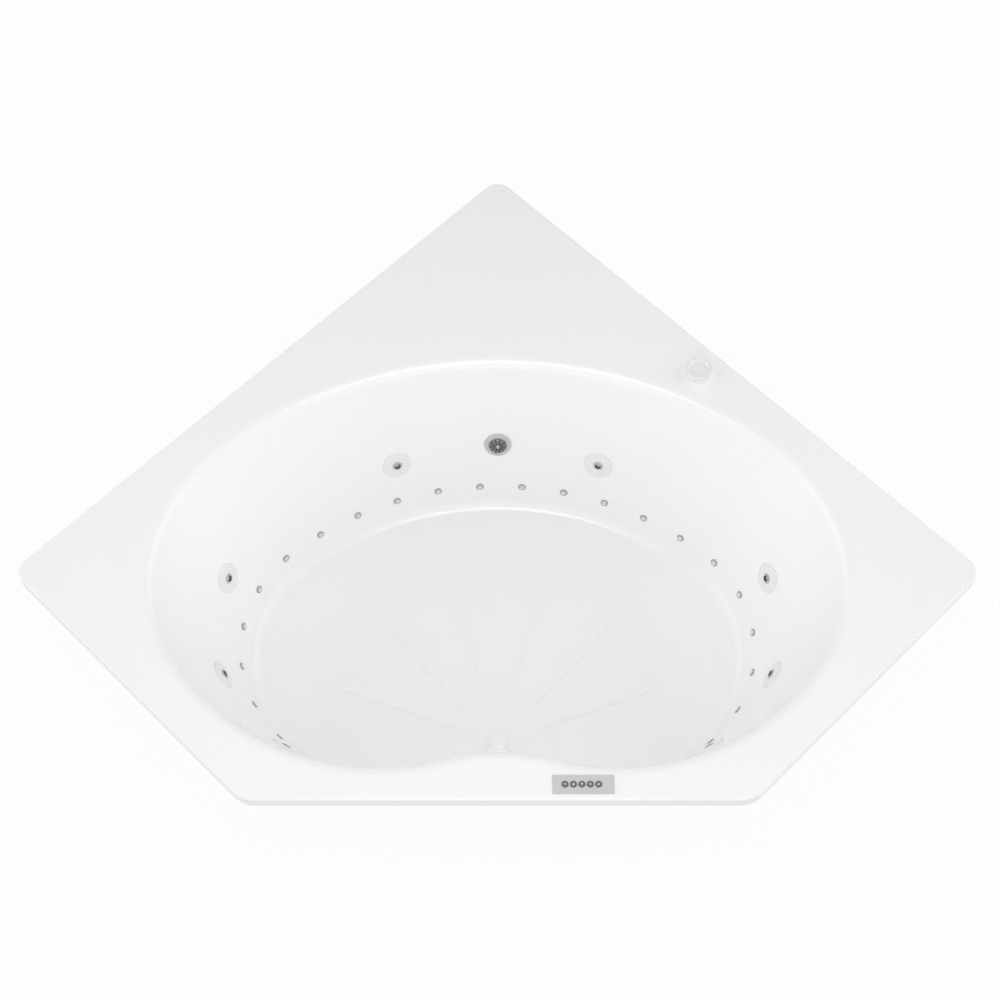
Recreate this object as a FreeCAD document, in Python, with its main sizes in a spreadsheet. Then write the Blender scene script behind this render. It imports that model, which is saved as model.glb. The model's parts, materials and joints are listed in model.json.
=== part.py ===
"""A jetted corner bathtub: acrylic shell, whirlpool and air systems, controls, waste and base.

Millimetres, +Z up. The origin is on the floor, under the middle of the deck's outline. +Y points to
the corner of the room, and the control panel is on the front edge of the deck, at -Y.
"""
import FreeCAD, Part
import math
import os
import Sketcher

Vector = FreeCAD.Vector

SIZES = (
    ("wall_ledge", "97.73", "least deck between the rim and a side against a wall"),
    ("return_ledge", "95.44", "least deck between the rim and a short side, square to its wall"),
    ("front_ledge", "74.57", "least deck between the rim and the front"),
    ("wall_corner_radius", "38", "plan radius of the three square corners"),
    ("front_corner_radius", "70", "plan radius of the two front corners"),
    ("floor_height", "108", "basin floor above the floor of the room"),
    ("lip_height", "32", "turned-down edge of the deck"),
    ("deck_edge_radius", "5", "round along the outer edge of the deck"),
    ("shell_wall", "6", "acrylic with its backing"),
    ("basin_depth", "400", "deck to basin floor"),
    ("rim_radius", "30", "round from the deck into the basin"),
    ("floor_radius", "38", "round from the basin wall into its floor"),
    ("rim_back_radius", "965", "rim arc at the back"),
    ("rim_side_radius", "404", "rim arc at the sides"),
    ("rim_lobe_radius", "543", "rim arc at the front lobes"),
    ("floor_inset", "159", "rim to the floor's edge, along the axis"),
    ("floor_back_radius", "719", "floor arc at the back"),
    ("floor_side_radius", "304", "floor arc at the sides"),
    ("floor_lobe_radius", "330", "floor arc at the front lobes"),
    ("back_sweep", "41", "degrees from the axis to the end of the back arc"),
    ("side_sweep", "124.5", "degrees from the axis to the end of the side arc"),
    ("bulge_sweep", "15.5", "half angle of the bulge in the front rim, degrees"),
    ("tread_width", "7", "anti-slip rib on the basin floor"),
    ("tread_height", "0.8", "its height"),
    ("tread_start", "115", "drain to the near end of a rib"),
    ("tread_length", "300", "length of a rib"),
    ("tread_first", "20", "degrees from +X to the first rib"),
    ("tread_step", "28", "degrees between ribs"),
    ("fit", "0.3", "clearance of a piece in its hole"),
    ("bearing_fit", "0.05", "running clearance of a shaft"),
    ("thread_fit", "0.1", "clearance of a screwed or pushed-in piece"),
    ("jet_rise", "155", "basin floor to the middle of a water jet"),
    ("jet_back_angle", "17.3", "outline angle of the back jets, degrees"),
    ("jet_side_angle", "70", "outline angle of the side jets, degrees"),
    ("jet_knee_angle", "112", "outline angle of the knee jets, degrees"),
    ("jet_front_angle", "147", "outline angle of the front jets, degrees"),
    ("jet_pad", "4.2", "wall left between the two flats at a jet"),
    ("jet_flange_radius", "35", "white escutcheon"),
    ("jet_flange_edge", "2.2", "its thickness at the edge"),
    ("jet_flange_rise", "4.5", "its thickness at the ball seat"),
    ("jet_neck_radius", "19", "threaded neck"),
    ("jet_neck_length", "26", "neck behind the flange"),
    ("jet_bore_radius", "11", "waterway in the neck"),
    ("jet_gasket_radius", "29", "gasket behind the wall"),
    ("jet_gasket_thick", "2.5", "its thickness"),
    ("jet_barrel_radius", "25", "jet body behind the wall"),
    ("jet_barrel_length", "56", "its length"),
    ("jet_barrel_wall", "5", "its wall"),
    ("ball_radius", "14", "swivelling nozzle"),
    ("ball_sink", "3.5", "ball centre behind the flat"),
    ("nozzle_front", "9.5", "ball centre to the nozzle's front face"),
    ("nozzle_back", "8", "ball centre to the nozzle's back face"),
    ("nozzle_bore", "5", "nozzle waterway"),
    ("nozzle_flare", "7.6", "mouth of the nozzle"),
    ("nozzle_flare_depth", "5", "depth of the mouth"),
    ("jet_port_setback", "40", "flat to the ports of a jet body"),
    ("water_port_radius", "11", "water port of a jet body"),
    ("water_port_reach", "60", "jet axis to the water manifold"),
    ("air_port_radius", "5", "air port of a jet body"),
    ("air_port_reach", "95", "jet axis to the jet air line"),
    ("port_wall", "2.5", "wall of a port"),
    ("manifold_radius", "24", "water manifold"),
    ("manifold_wall", "4", "its wall"),
    ("air_line_radius", "15", "air line of the water jets"),
    ("air_line_wall", "3", "its wall"),
    ("pipe_end", "30", "pipe run past its last branch"),
    ("injector_count", "22", "air injectors in the ring"),
    ("injector_rise", "55", "basin floor to the ring of air injectors"),
    ("injector_pitch", "103", "spacing along the wall"),
    ("injector_shift", "8", "ring moved round to the right"),
    ("injector_pad", "4.6", "wall left between the two flats"),
    ("injector_cap_radius", "9", "visible cap"),
    ("injector_cap_rise", "3", "its height"),
    ("injector_stem_radius", "5.5", "stem through the wall"),
    ("injector_bore", "2", "air hole"),
    ("injector_reach", "42", "flat to the middle of the air ring"),
    ("injector_nut_radius", "11", "nut across its corners, halved"),
    ("injector_nut_thick", "6", "nut thickness"),
    ("air_ring_radius", "18", "ring pipe of the air injectors"),
    ("air_ring_wall", "3", "its wall"),
    ("suction_rise", "176", "basin floor to the suction fitting"),
    ("suction_pad", "4", "wall left between the two flats"),
    ("suction_flange_radius", "33", "suction flange in the basin"),
    ("suction_flange_thick", "5", "its thickness"),
    ("suction_seat", "2", "cover seat above the flat"),
    ("suction_bar_width", "10", "bar across the waterway"),
    ("suction_bar_thick", "5", "its thickness"),
    ("suction_tail_radius", "24", "tail through the wall"),
    ("suction_bore", "19", "its waterway"),
    ("suction_tail_length", "74", "tail behind the flat"),
    ("suction_nut_radius", "38", "nut across its corners, halved"),
    ("suction_nut_thick", "16", "nut thickness"),
    ("cover_radius", "21.5", "slotted suction cover"),
    ("cover_rise", "9", "its height above the flange"),
    ("cover_shoulder", "5", "height of its straight side"),
    ("cover_wall", "2.5", "its wall"),
    ("cover_slot_width", "2.6", "slot in the cover"),
    ("cover_slots", "10", "number of slots"),
    ("cover_screw_radius", "4.5", "head of the cover's screw"),
    ("cover_screw_rise", "1.5", "its height"),
    ("cover_shank_radius", "2", "shank of that screw"),
    ("pipe_wall", "4", "wall of the suction and outlet pipes"),
    ("pipe_socket", "16", "overlap of a pushed-on pipe"),
    ("suction_bend", "120", "bend of the suction pipe"),
    ("suction_run", "30", "straight end of the suction pipe"),
    ("pump_inlet_length", "30", "inlet spigot of the pump"),
    ("volute_radius", "85", "pump casing"),
    ("volute_length", "64", "its length"),
    ("volute_wall", "6", "its wall"),
    ("pump_flange_radius", "97", "bolted flange"),
    ("pump_flange_thick", "8", "its thickness"),
    ("discharge_radius", "13", "discharge spigot"),
    ("discharge_reach", "120", "pump axis to the end of the discharge"),
    ("discharge_setback", "36", "front of the casing to the discharge"),
    ("seal_plate_thick", "10", "plate between pump and motor"),
    ("bolt_radius", "3", "flange bolts"),
    ("bolt_head_radius", "5.5", "their heads and nuts"),
    ("bolt_head_thick", "5", "their heads and nuts"),
    ("bolt_count", "6", "flange bolts"),
    ("shaft_radius", "9", "motor shaft"),
    ("impeller_radius", "66", "impeller"),
    ("impeller_thick", "5", "its back shroud"),
    ("impeller_hub_radius", "16", "its hub"),
    ("impeller_gap", "10", "impeller to the seal plate"),
    ("vane_height", "22", "impeller vanes"),
    ("vane_thick", "4", "their thickness"),
    ("vane_count", "6", "their number"),
    ("vane_lean", "30", "degrees that a vane leans back"),
    ("motor_radius", "74", "motor frame"),
    ("motor_wall", "8", "its wall"),
    ("motor_length", "198", "its length"),
    ("motor_bell", "26", "thickness of each bearing end"),
    ("bearing_radius", "20", "ball bearings"),
    ("bearing_width", "14", "their width"),
    ("fin_height", "6", "cooling fins"),
    ("fin_thick", "3", "their thickness"),
    ("fin_count", "24", "their number"),
    ("stator_length", "110", "stator pack"),
    ("rotor_radius", "38", "rotor pack"),
    ("rotor_length", "100", "its length"),
    ("air_gap", "0.6", "rotor to stator"),
    ("fan_radius", "56", "motor cooling fan"),
    ("fan_width", "16", "width of its blades"),
    ("fan_gap", "5", "fan to the motor end"),
    ("fan_cover_length", "42", "fan cover"),
    ("fan_cover_wall", "2", "its wall"),
    ("fan_cover_overlap", "14", "cover over the motor frame"),
    ("vent_count", "9", "vents in a cover"),
    ("vent_width", "8", "width of a vent"),
    ("foot_width", "120", "pump saddle"),
    ("foot_length", "110", "its length along the motor"),
    ("foot_setback", "45", "motor flange to the saddle"),
    ("foot_drop", "34", "motor axis to the top of the saddle"),
    ("outlet_bend", "38", "bend of the outlet pipe"),
    ("outlet_side", "160", "axis to the branch into the manifold"),
    ("blower_side", "235", "blower, left of the axis"),
    ("blower_setback", "425", "corner of the room to the blower"),
    ("blower_radius", "66", "blower casing"),
    ("blower_foot_radius", "71", "its foot and lid"),
    ("blower_height", "118", "its height"),
    ("blower_wall", "4", "its wall"),
    ("blower_lid_thick", "7", "its lid"),
    ("blower_motor_radius", "24", "blower motor"),
    ("blower_motor_height", "52", "its height"),
    ("blower_shaft_radius", "4", "its shaft"),
    ("blower_fan_radius", "54", "blower fan"),
    ("blower_fan_height", "24", "its blades"),
    ("blower_blades", "12", "their number"),
    ("blower_port_radius", "9", "outlet spigot"),
    ("blower_port_reach", "104", "blower axis to the end of the spigot"),
    ("box_width", "120", "control box"),
    ("box_length", "70", "its depth"),
    ("box_height", "140", "its height"),
    ("box_wall", "3", "its wall"),
    ("box_side", "196", "axis to the control box"),
    ("box_setback", "470", "corner of the room to its front face"),
    ("box_lid_thick", "6", "its lid"),
    ("box_screw_radius", "3.5", "lid screw heads"),
    ("box_screw_rise", "2", "their height"),
    ("box_screw_inset", "9", "screw to the corner's faces"),
    ("box_post_radius", "7", "screw post in a corner"),
    ("box_shank_radius", "1.5", "lid screw shank"),
    ("box_shank_length", "16", "its length"),
    ("gland_radius", "9", "cable gland"),
    ("gland_bore", "4", "its bore"),
    ("gland_thread_radius", "6", "thread in the box wall"),
    ("gland_count", "3", "cable glands"),
    ("gland_reach", "16", "its length outside the box"),
    ("gland_pitch", "22", "between glands"),
    ("gland_rise", "40", "glands above the foot of the box"),
    ("knob_angle", "26.42", "outline angle of the air control, degrees"),
    ("knob_inset", "84.63", "rim to the air control"),
    ("knob_radius", "29", "air control knob"),
    ("knob_height", "14.5", "its height"),
    ("knob_dish", "3", "depth of the dish in its top"),
    ("knob_dish_radius", "21", "floor of that dish"),
    ("collar_radius", "32", "collar under the knob"),
    ("collar_thick", "4.5", "its height"),
    ("collar_neck_radius", "15", "neck through the deck"),
    ("collar_neck_length", "30", "its length"),
    ("collar_tail_radius", "7", "pipe tail"),
    ("collar_tail_length", "30", "its length"),
    ("collar_bore", "5", "airway"),
    ("knob_stub_radius", "11", "stub of the knob in the collar"),
    ("knob_stub_length", "18", "its length"),
    ("collar_nut_radius", "26", "nut across its corners, halved"),
    ("collar_nut_thick", "8", "its thickness"),
    ("air_pipe_wall", "2.3", "wall of the air pipes"),
    ("air_pipe_bend", "40", "bend of the air control pipe"),
    ("panel_side", "180", "control panel, right of the axis"),
    ("panel_setback", "35", "front edge of the deck to the panel's middle"),
    ("panel_width", "131", "control panel"),
    ("panel_length", "42.5", "its depth"),
    ("panel_thick", "3", "its thickness"),
    ("panel_corner", "2", "its corner radius"),
    ("panel_edge", "1", "round along its top edge"),
    ("keypad_width", "118", "housing under the panel"),
    ("keypad_length", "31", "its depth"),
    ("keypad_height", "26", "its height"),
    ("keypad_wall", "2", "its wall"),
    ("keypad_cavity", "14", "depth of its cavity"),
    ("board_thick", "1.6", "circuit board"),
    ("switch_radius", "3.2", "switch on the board"),
    ("switch_gap", "0.2", "switch to a pressed button"),
    ("button_count", "5", "buttons"),
    ("button_radius", "7.35", "button cap"),
    ("button_pitch", "17.7", "between buttons"),
    ("button_shift", "3", "row of buttons left of the panel's middle"),
    ("button_rise", "1.3", "cap above the panel"),
    ("button_travel", "1", "press"),
    ("button_flange_radius", "8.4", "flange under the panel"),
    ("button_flange_thick", "1.2", "its thickness"),
    ("button_stem_radius", "3", "stem"),
    ("button_stem_length", "8", "stem under the flange"),
    ("overflow_depth", "100", "deck to the overflow"),
    ("overflow_sink", "1.3", "flat set into the bulged wall"),
    ("overflow_pad", "3.8", "wall left between the two flats"),
    ("overflow_cap_radius", "28.5", "overflow cap"),
    ("overflow_cap_rise", "17", "its height"),
    ("overflow_cap_round", "6", "round of its face"),
    ("overflow_cap_wall", "3", "its wall"),
    ("overflow_spigot_radius", "13", "spigot of the cap"),
    ("overflow_spigot_wall", "2.5", "its wall"),
    ("overflow_spigot_length", "14", "its length behind the flat"),
    ("overflow_flange_radius", "24", "flange of the elbow"),
    ("overflow_flange_thick", "4", "its thickness"),
    ("overflow_elbow_radius", "17", "elbow behind the wall"),
    ("overflow_elbow_length", "28", "its length"),
    ("overflow_tail_radius", "8", "spigot down from the elbow"),
    ("overflow_tail_length", "42", "elbow axis to its end"),
    ("overflow_pipe_grip", "12", "overflow pipe in the tee"),
    ("drain_inset", "786", "rim to the drain, along the axis"),
    ("drain_flange_radius", "28", "drain flange"),
    ("drain_flange_thick", "2.5", "its thickness"),
    ("drain_neck_radius", "19", "neck through the floor"),
    ("drain_neck_length", "28", "its length"),
    ("drain_bore", "16", "waterway"),
    ("spider_width", "12", "bar across the drain"),
    ("spider_thick", "5", "its thickness"),
    ("stopper_radius", "21", "stopper"),
    ("stopper_thick", "4", "its thickness"),
    ("stopper_stem_radius", "4", "its stem"),
    ("stopper_stem_length", "36", "its length"),
    ("shoe_radius", "25", "waste shoe"),
    ("shoe_flange_radius", "34", "its flange"),
    ("shoe_flange_thick", "4", "its thickness"),
    ("shoe_height", "68", "its height"),
    ("shoe_floor", "4", "its floor"),
    ("shoe_port_radius", "11", "port to the tee"),
    ("tee_radius", "19", "waste tee"),
    ("tee_wall", "3", "its wall"),
    ("tee_drop", "28", "underside of the shell to the top of the tee"),
    ("tee_height", "38", "its height"),
    ("spigot_radius", "16", "waste spigot under the tee"),
    ("spigot_end", "6", "its end above the floor of the room"),
    ("base_thick", "18", "base board"),
    ("base_front", "1270", "corner of the room to its front edge"),
    ("base_waist", "700", "corner of the room to its waist"),
    ("base_shoulder", "316", "corner of the room to its shoulders"),
    ("base_back", "190", "corner of the room to its back edge"),
    ("base_half_width", "440", "half its width"),
    ("base_shoulder_half", "300", "half its width at the shoulders"),
    ("base_back_half", "150", "half its width at the back edge"),
    ("runner_width", "45", "runner under the board"),
    ("runner_pitch", "255", "between runners"),
)


class Size:
    """A length: its number now, and the sheet expression that it follows."""

    def __init__(self, number, text):
        self.number = number
        self.text = text

    def __add__(self, other):
        return Size(self.number + other.number, "(%s + %s)" % (self.text, other.text))

    def __sub__(self, other):
        return Size(self.number - other.number, "(%s - %s)" % (self.text, other.text))

    def __mul__(self, share):
        return Size(self.number * share, "(%s * %s)" % (self.text, share))

    def __float__(self):
        return self.number


def fixed(number):
    """A size worked out from others, such as a point on a curve."""
    return Size(number, repr(number))


doc = FreeCAD.newDocument("jetted_corner_bathtub")
sheet = doc.addObject("Spreadsheet::Sheet", "Sizes")
size = {}
for row, (alias, text, note) in enumerate(SIZES, 1):
    sheet.set("A%d" % row, note)
    sheet.set("B%d" % row, text)
    sheet.setAlias("B%d" % row, alias)
    size[alias] = Size(float(text), "Sizes." + alias)
doc.recompute()
value = {alias: item.number for alias, item in size.items()}
count = {alias: int(value[alias]) for alias in value if alias.endswith(("_count", "_slots", "_blades"))}
nodes = []


# Building blocks: bound primitives, turned bodies, booleans and placed copies.

def bind(piece, **lengths):
    """Tie properties of a piece to the sheet."""
    for name, length in lengths.items():
        piece.setExpression(name, length.text)
    return piece


def lift(piece, x=None, y=None, z=None):
    """Tie the position of a piece to the sheet."""
    for axis, length in (("x", x), ("y", y), ("z", z)):
        if length is not None:
            piece.setExpression("Placement.Base." + axis, length.text)
    return piece


def rod(name, radius, height):
    return bind(doc.addObject("Part::Cylinder", name), Radius=radius, Height=height)


def block(name, length, width, height):
    return bind(doc.addObject("Part::Box", name), Length=length, Width=width, Height=height)


def hexagon(name, radius, height):
    prism = doc.addObject("Part::Prism", name)
    prism.Polygon = 6
    return bind(prism, Circumradius=radius, Height=height)


def face_along(piece, direction):
    """Turn a piece's Z axis to a direction."""
    piece.Placement = FreeCAD.Placement(Vector(), FreeCAD.Rotation(Vector(0, 0, 1), direction))
    return piece


def join(name, *pieces):
    union = doc.addObject("Part::MultiFuse", name)
    union.Shapes = list(pieces)
    return union


def cut(name, base, *tools):
    result = doc.addObject("Part::Cut", name)
    result.Base = base
    if len(tools) == 1:
        result.Tool = tools[0]
    else:
        bundle = doc.addObject("Part::Compound", name + "_tools")
        bundle.Links = list(tools)
        result.Tool = bundle
    return result


def origin_plane(body, role):
    return next(plane for plane in body.Origin.OriginFeatures if plane.Role == role)


def corner_sketch(body, name, role, corners):
    """A closed sketch through corners at or above zero; None stands for a coordinate on the axis."""
    sketch = body.newObject("Sketcher::SketchObject", name)
    sketch.AttachmentSupport = [(origin_plane(body, role), "")]
    sketch.MapMode = "FlatFace"
    spots = [Vector(*(0.0 if side is None else side.number for side in corner), 0) for corner in corners]
    last = len(spots) - 1
    for index, spot in enumerate(spots):
        following = spots[0 if index == last else index + 1]
        sketch.addGeometry(Part.LineSegment(spot, following), False)
    for index in range(len(spots)):
        following = 0 if index == last else index + 1
        sketch.addConstraint(Sketcher.Constraint("Coincident", index, 2, following, 1))
    for index, corner in enumerate(corners):
        for kind, axis, side in (("DistanceX", -2, corner[0]), ("DistanceY", -1, corner[1])):
            if side is None:
                sketch.addConstraint(Sketcher.Constraint("PointOnObject", index, 1, axis))
                continue
            number = sketch.addConstraint(Sketcher.Constraint(kind, -1, 1, index, 1, side.number))
            sketch.setExpression("Constraints[%d]" % number, side.text)
    return sketch


def turned(name, corners, rounds=()):
    """A body turned about Z from (radius, height) corners, with rounds (radius, height, round)."""
    body = doc.addObject("PartDesign::Body", name)
    sketch = corner_sketch(body, name + "_profile", "XZ_Plane", corners)
    turn = body.newObject("PartDesign::Revolution", name + "_turn")
    turn.Profile = sketch
    turn.ReferenceAxis = (sketch, ["V_Axis"])
    turn.Angle = 360
    doc.recompute()
    last = turn
    for number, (radius, height, round_size) in enumerate(rounds, 1):
        edge = circle_edge(last.Shape, radius.number, height.number)
        fillet = body.newObject("PartDesign::Fillet", "%s_round_%d" % (name, number))
        fillet.Base = (last, [edge])
        bind(fillet, Radius=round_size)
        doc.recompute()
        last = fillet
    body.Tip = last
    return body


def circle_edge(shape, radius, height):
    """Name of the round edge with this radius at this height."""
    for number, edge in enumerate(shape.Edges, 1):
        curve = edge.Curve
        if isinstance(curve, Part.Circle) and abs(curve.Radius - radius) < 1e-4:
            if abs(curve.Center.z - height) < 1e-4:
                return "Edge%d" % number
    raise ValueError("no round edge of radius %g at height %g" % (radius, height))


def padded(name, corners, height):
    """A body padded up from corners in its XY plane."""
    body = doc.addObject("PartDesign::Body", name)
    sketch = corner_sketch(body, name + "_outline", "XY_Plane", corners)
    pad = body.newObject("PartDesign::Pad", name + "_pad")
    pad.Profile = sketch
    bind(pad, Length=height)
    body.Tip = pad
    doc.recompute()
    return body


def node(label, piece, placement=None):
    """Name a sub-part and put it in its place."""
    piece.Label = label
    if placement is not None:
        piece.Placement = placement
    nodes.append(piece)
    return piece


def group(label, *placed):
    """One sub-part of separate solids, from pairs of a piece and its places."""
    doc.recompute()
    shapes = []
    for piece, placements in placed:
        for placement in placements:
            shape = piece.Shape.copy()
            shape.Placement = placement.multiply(shape.Placement)
            shapes.append(shape)
    return node(label, solid(label, Part.makeCompound(shapes)))


def solid(name, shape):
    feature = doc.addObject("Part::Feature", name)
    feature.Shape = shape
    return feature


def round_array(name, piece, number):
    """Copies of a piece turned evenly about Z, as one tool."""
    doc.recompute()
    shapes = []
    for index in range(number):
        shape = piece.Shape.copy()
        shape.rotate(Vector(), Vector(0, 0, 1), 360.0 * index / number)
        shapes.append(shape)
    return solid(name, Part.makeCompound(shapes))


def straight_on(frame, x=0.0, y=0.0, z=0.0):
    """A frame moved along its own axes."""
    return frame.multiply(FreeCAD.Placement(Vector(x, y, z), FreeCAD.Rotation()))


def spun(number, radius):
    """Places evenly round Z at a radius."""
    places = []
    for index in range(number):
        turn = FreeCAD.Rotation(Vector(0, 0, 1), 360.0 * index / number)
        places.append(FreeCAD.Placement(turn.multVec(Vector(radius, 0, 0)), turn))
    return places


# Plan of the deck and the basin. Setbacks are measured from the corner of the room towards -Y.

back_sweep = math.radians(value["back_sweep"])
side_sweep = math.radians(value["side_sweep"])
bulge_sweep = math.radians(value["bulge_sweep"])
lobe_sweep = math.pi + bulge_sweep


def plan_of_rim():
    """Setback of the rim, and side, setback and radius of a front lobe, from the ledge at the walls."""
    back, side, lobe = value["rim_back_radius"], value["rim_side_radius"], value["rim_lobe_radius"]
    across = (back - side) * math.sin(back_sweep)
    along = (back - side) * math.cos(back_sweep)
    setback = across + along - back + (side + value["wall_ledge"]) * math.sqrt(2)
    lobe_across = across + (side - lobe) * math.sin(side_sweep)
    lobe_setback = setback + back - along - (side - lobe) * math.cos(side_sweep)
    return setback, lobe_across, lobe_setback, lobe


rim_setback, lobe_across, lobe_setback, lobe_radius = plan_of_rim()
half_wall = (lobe_across + lobe_setback) / 2 + (lobe_radius + value["return_ledge"]) / math.sqrt(2)
deck_front = lobe_setback + lobe_radius + value["front_ledge"]
half_return = deck_front - half_wall
deck_tip = value["wall_corner_radius"] * (math.sqrt(2) - 1)
corner_y = (deck_front + deck_tip) / 2
basin_floor = value["floor_height"]
deck_top = basin_floor + value["basin_depth"]
base_top = basin_floor - value["shell_wall"]


def on_arc(centre, radius, angle):
    """Point of an arc, its angle taken from +Y towards +X."""
    return (centre[0] + radius * math.sin(angle), centre[1] + radius * math.cos(angle))


def basin_arcs(depth, offset=0.0):
    """Arcs (centre, radius, start, end) of the basin's outline at a depth, grown by an offset."""
    share = depth / value["basin_depth"]

    def between(name):
        return value["rim_" + name] + (value["floor_" + name] - value["rim_" + name]) * share

    back, side, lobe = between("back_radius"), between("side_radius"), between("lobe_radius")
    back_centre = (0.0, corner_y - rim_setback - value["floor_inset"] * share - back)
    side_centre = on_arc(back_centre, back - side, back_sweep)
    lobe_centre = on_arc(side_centre, side - lobe, side_sweep)
    bulge = lobe_centre[0] / math.sin(bulge_sweep) - lobe
    bulge_centre = on_arc(lobe_centre, lobe + bulge, lobe_sweep)
    left_side = (-side_centre[0], side_centre[1])
    left_lobe = (-lobe_centre[0], lobe_centre[1])
    return [
        (back_centre, back + offset, -back_sweep, back_sweep),
        (side_centre, side + offset, back_sweep, side_sweep),
        (lobe_centre, lobe + offset, side_sweep, lobe_sweep),
        (bulge_centre, bulge - offset, bulge_sweep, -bulge_sweep),
        (left_lobe, lobe + offset, -lobe_sweep, -side_sweep),
        (left_side, side + offset, -side_sweep, -back_sweep),
    ]


def arc_number(angle):
    """Which arc of the outline faces an angle."""
    if abs(angle) <= back_sweep:
        return 0
    if abs(angle) <= side_sweep:
        return 1 if angle > 0 else 5
    return 2 if angle > 0 else 4


def arc_edge(arc, height):
    centre, radius, start, end = arc
    spots = [on_arc(centre, radius, angle) for angle in (start, (start + end) / 2, end)]
    return Part.Arc(*(Vector(x, y, height) for x, y in spots)).toShape()


def basin_wire(depth, offset):
    return Part.Wire([arc_edge(arc, deck_top - depth) for arc in basin_arcs(depth, offset)])


def wall_frame(number, angle, depth):
    """Place on the basin wall: Z into the basin, Y up the wall, X along it."""
    spots = []
    for level in (depth, depth + 1.0):
        centre, radius, start, end = basin_arcs(level)[number]
        spots.append(Vector(*on_arc(centre, radius, angle), deck_top - level))
    along = Vector(math.cos(angle), -math.sin(angle), 0)
    inward = along.cross(spots[1] - spots[0]).normalize()
    if inward.z < 0:
        inward = inward.negative()
    up = (Vector(0, 0, 1) - inward * inward.z).normalize()
    return FreeCAD.Placement(spots[0], FreeCAD.Rotation(up.cross(inward), up, inward, "ZYX"))


def outline_angle(length, depth):
    """Outline angle at a distance along the wall from the axis, at a depth."""
    arcs = basin_arcs(depth)
    left = abs(length)
    for radius, start, end in ((arcs[n][1], arcs[n][2], arcs[n][3]) for n in (0, 1, 2)):
        start = max(start, 0.0)
        if left <= radius * (end - start) or end == lobe_sweep:
            return math.copysign(start + left / radius, length)
        left -= radius * (end - start)


jet_angles = [math.radians(value["jet_%s_angle" % name]) for name in ("back", "side", "knee", "front")]
jet_frames = []
for angle in jet_angles:
    for signed in (angle, -angle):
        jet_frames.append(wall_frame(arc_number(signed), signed, value["basin_depth"] - value["jet_rise"]))

injector_depth = value["basin_depth"] - value["injector_rise"]
injector_angles = []
for index in range(count["injector_count"]):
    run = (index - (count["injector_count"] - 1) / 2) * value["injector_pitch"] + value["injector_shift"]
    injector_angles.append(outline_angle(run, injector_depth))
injector_frames = [
    wall_frame(arc_number(angle), angle, injector_depth) for angle in injector_angles
]
suction_frame = wall_frame(0, 0.0, value["basin_depth"] - value["suction_rise"])
overflow_frame = straight_on(wall_frame(3, 0.0, value["overflow_depth"]), z=-value["overflow_sink"])
drain_y = corner_y - rim_setback - value["drain_inset"]
knob_arc = basin_arcs(0, value["knob_inset"])[0]
knob_place = Vector(*on_arc(knob_arc[0], knob_arc[1], math.radians(value["knob_angle"])), deck_top)
panel_place = Vector(value["panel_side"], corner_y - deck_front + value["panel_setback"], deck_top)


# Tub shell: deck with a turned-down lip, drafted basin, rounds, ribs and the holes of its fittings.

def deck_wire(inset, height):
    """Rounded outline of the deck, drawn in by an inset."""
    corners = [
        (0.0, corner_y, "wall_corner_radius"),
        (half_wall, corner_y - half_wall, "wall_corner_radius"),
        (half_wall - half_return, corner_y - deck_front, "front_corner_radius"),
        (half_return - half_wall, corner_y - deck_front, "front_corner_radius"),
        (-half_wall, corner_y - half_wall, "wall_corner_radius"),
    ]
    spots = [Vector(x, y, height) for x, y, radius in corners]
    arcs = []
    for index, corner in enumerate(spots):
        before = (spots[index - 1] - corner).normalize()
        after = (spots[(index + 1) % len(spots)] - corner).normalize()
        half = math.acos(before.dot(after)) / 2
        middle = (before + after).normalize()
        radius = value[corners[index][2]] - inset
        moved = corner + middle * (inset / math.sin(half))
        tangent = radius / math.tan(half)
        crown = moved + middle * (radius / math.sin(half) - radius)
        arcs.append((moved + before * tangent, crown, moved + after * tangent))
    edges = []
    for index, arc in enumerate(arcs):
        edges.append(Part.Arc(*arc).toShape())
        edges.append(Part.makeLine(arc[2], arcs[(index + 1) % len(arcs)][0]))
    return Part.Wire(edges)


def level_edges(shape, height):
    """Edges of a shape that lie at a height."""
    found = []
    for edge in shape.Edges:
        levels = [spot.z for spot in edge.discretize(3)]
        if max(abs(level - height) for level in levels) < 1e-3:
            found.append(edge)
    return found


def outline_edges(shape, depth, offset):
    """Edges of a shape that lie on the basin's outline at a depth."""
    found = []
    for edge in level_edges(shape, deck_top - depth):
        spot = edge.discretize(3)[1]
        for centre, radius, *ends in basin_arcs(depth, offset):
            if abs(math.hypot(spot.x - centre[0], spot.y - centre[1]) - abs(radius)) < 0.1:
                found.append(edge)
                break
    return found


def drafted(top, bottom, offset, floor_round):
    """Basin-shaped solid between two depths with a rounded floor edge."""
    body = Part.makeLoft([basin_wire(top, offset), basin_wire(bottom, offset)], True, True)
    return body.makeFillet(floor_round, level_edges(body, deck_top - bottom))


def spool(frame, hole, front, back, pad):
    """Cutter for a fitting: a flat in the basin, a hole, and a flat behind that leaves the pad."""
    reach = 3 * value["shell_wall"]
    parts = [
        Part.makeCylinder(hole, 2 * reach, Vector(0, 0, -reach)),
        Part.makeCylinder(front, reach),
        Part.makeCylinder(back, reach, Vector(0, 0, -reach - pad)),
    ]
    tool = parts[0].multiFuse(parts[1:])
    tool.Placement = frame
    return tool


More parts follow.
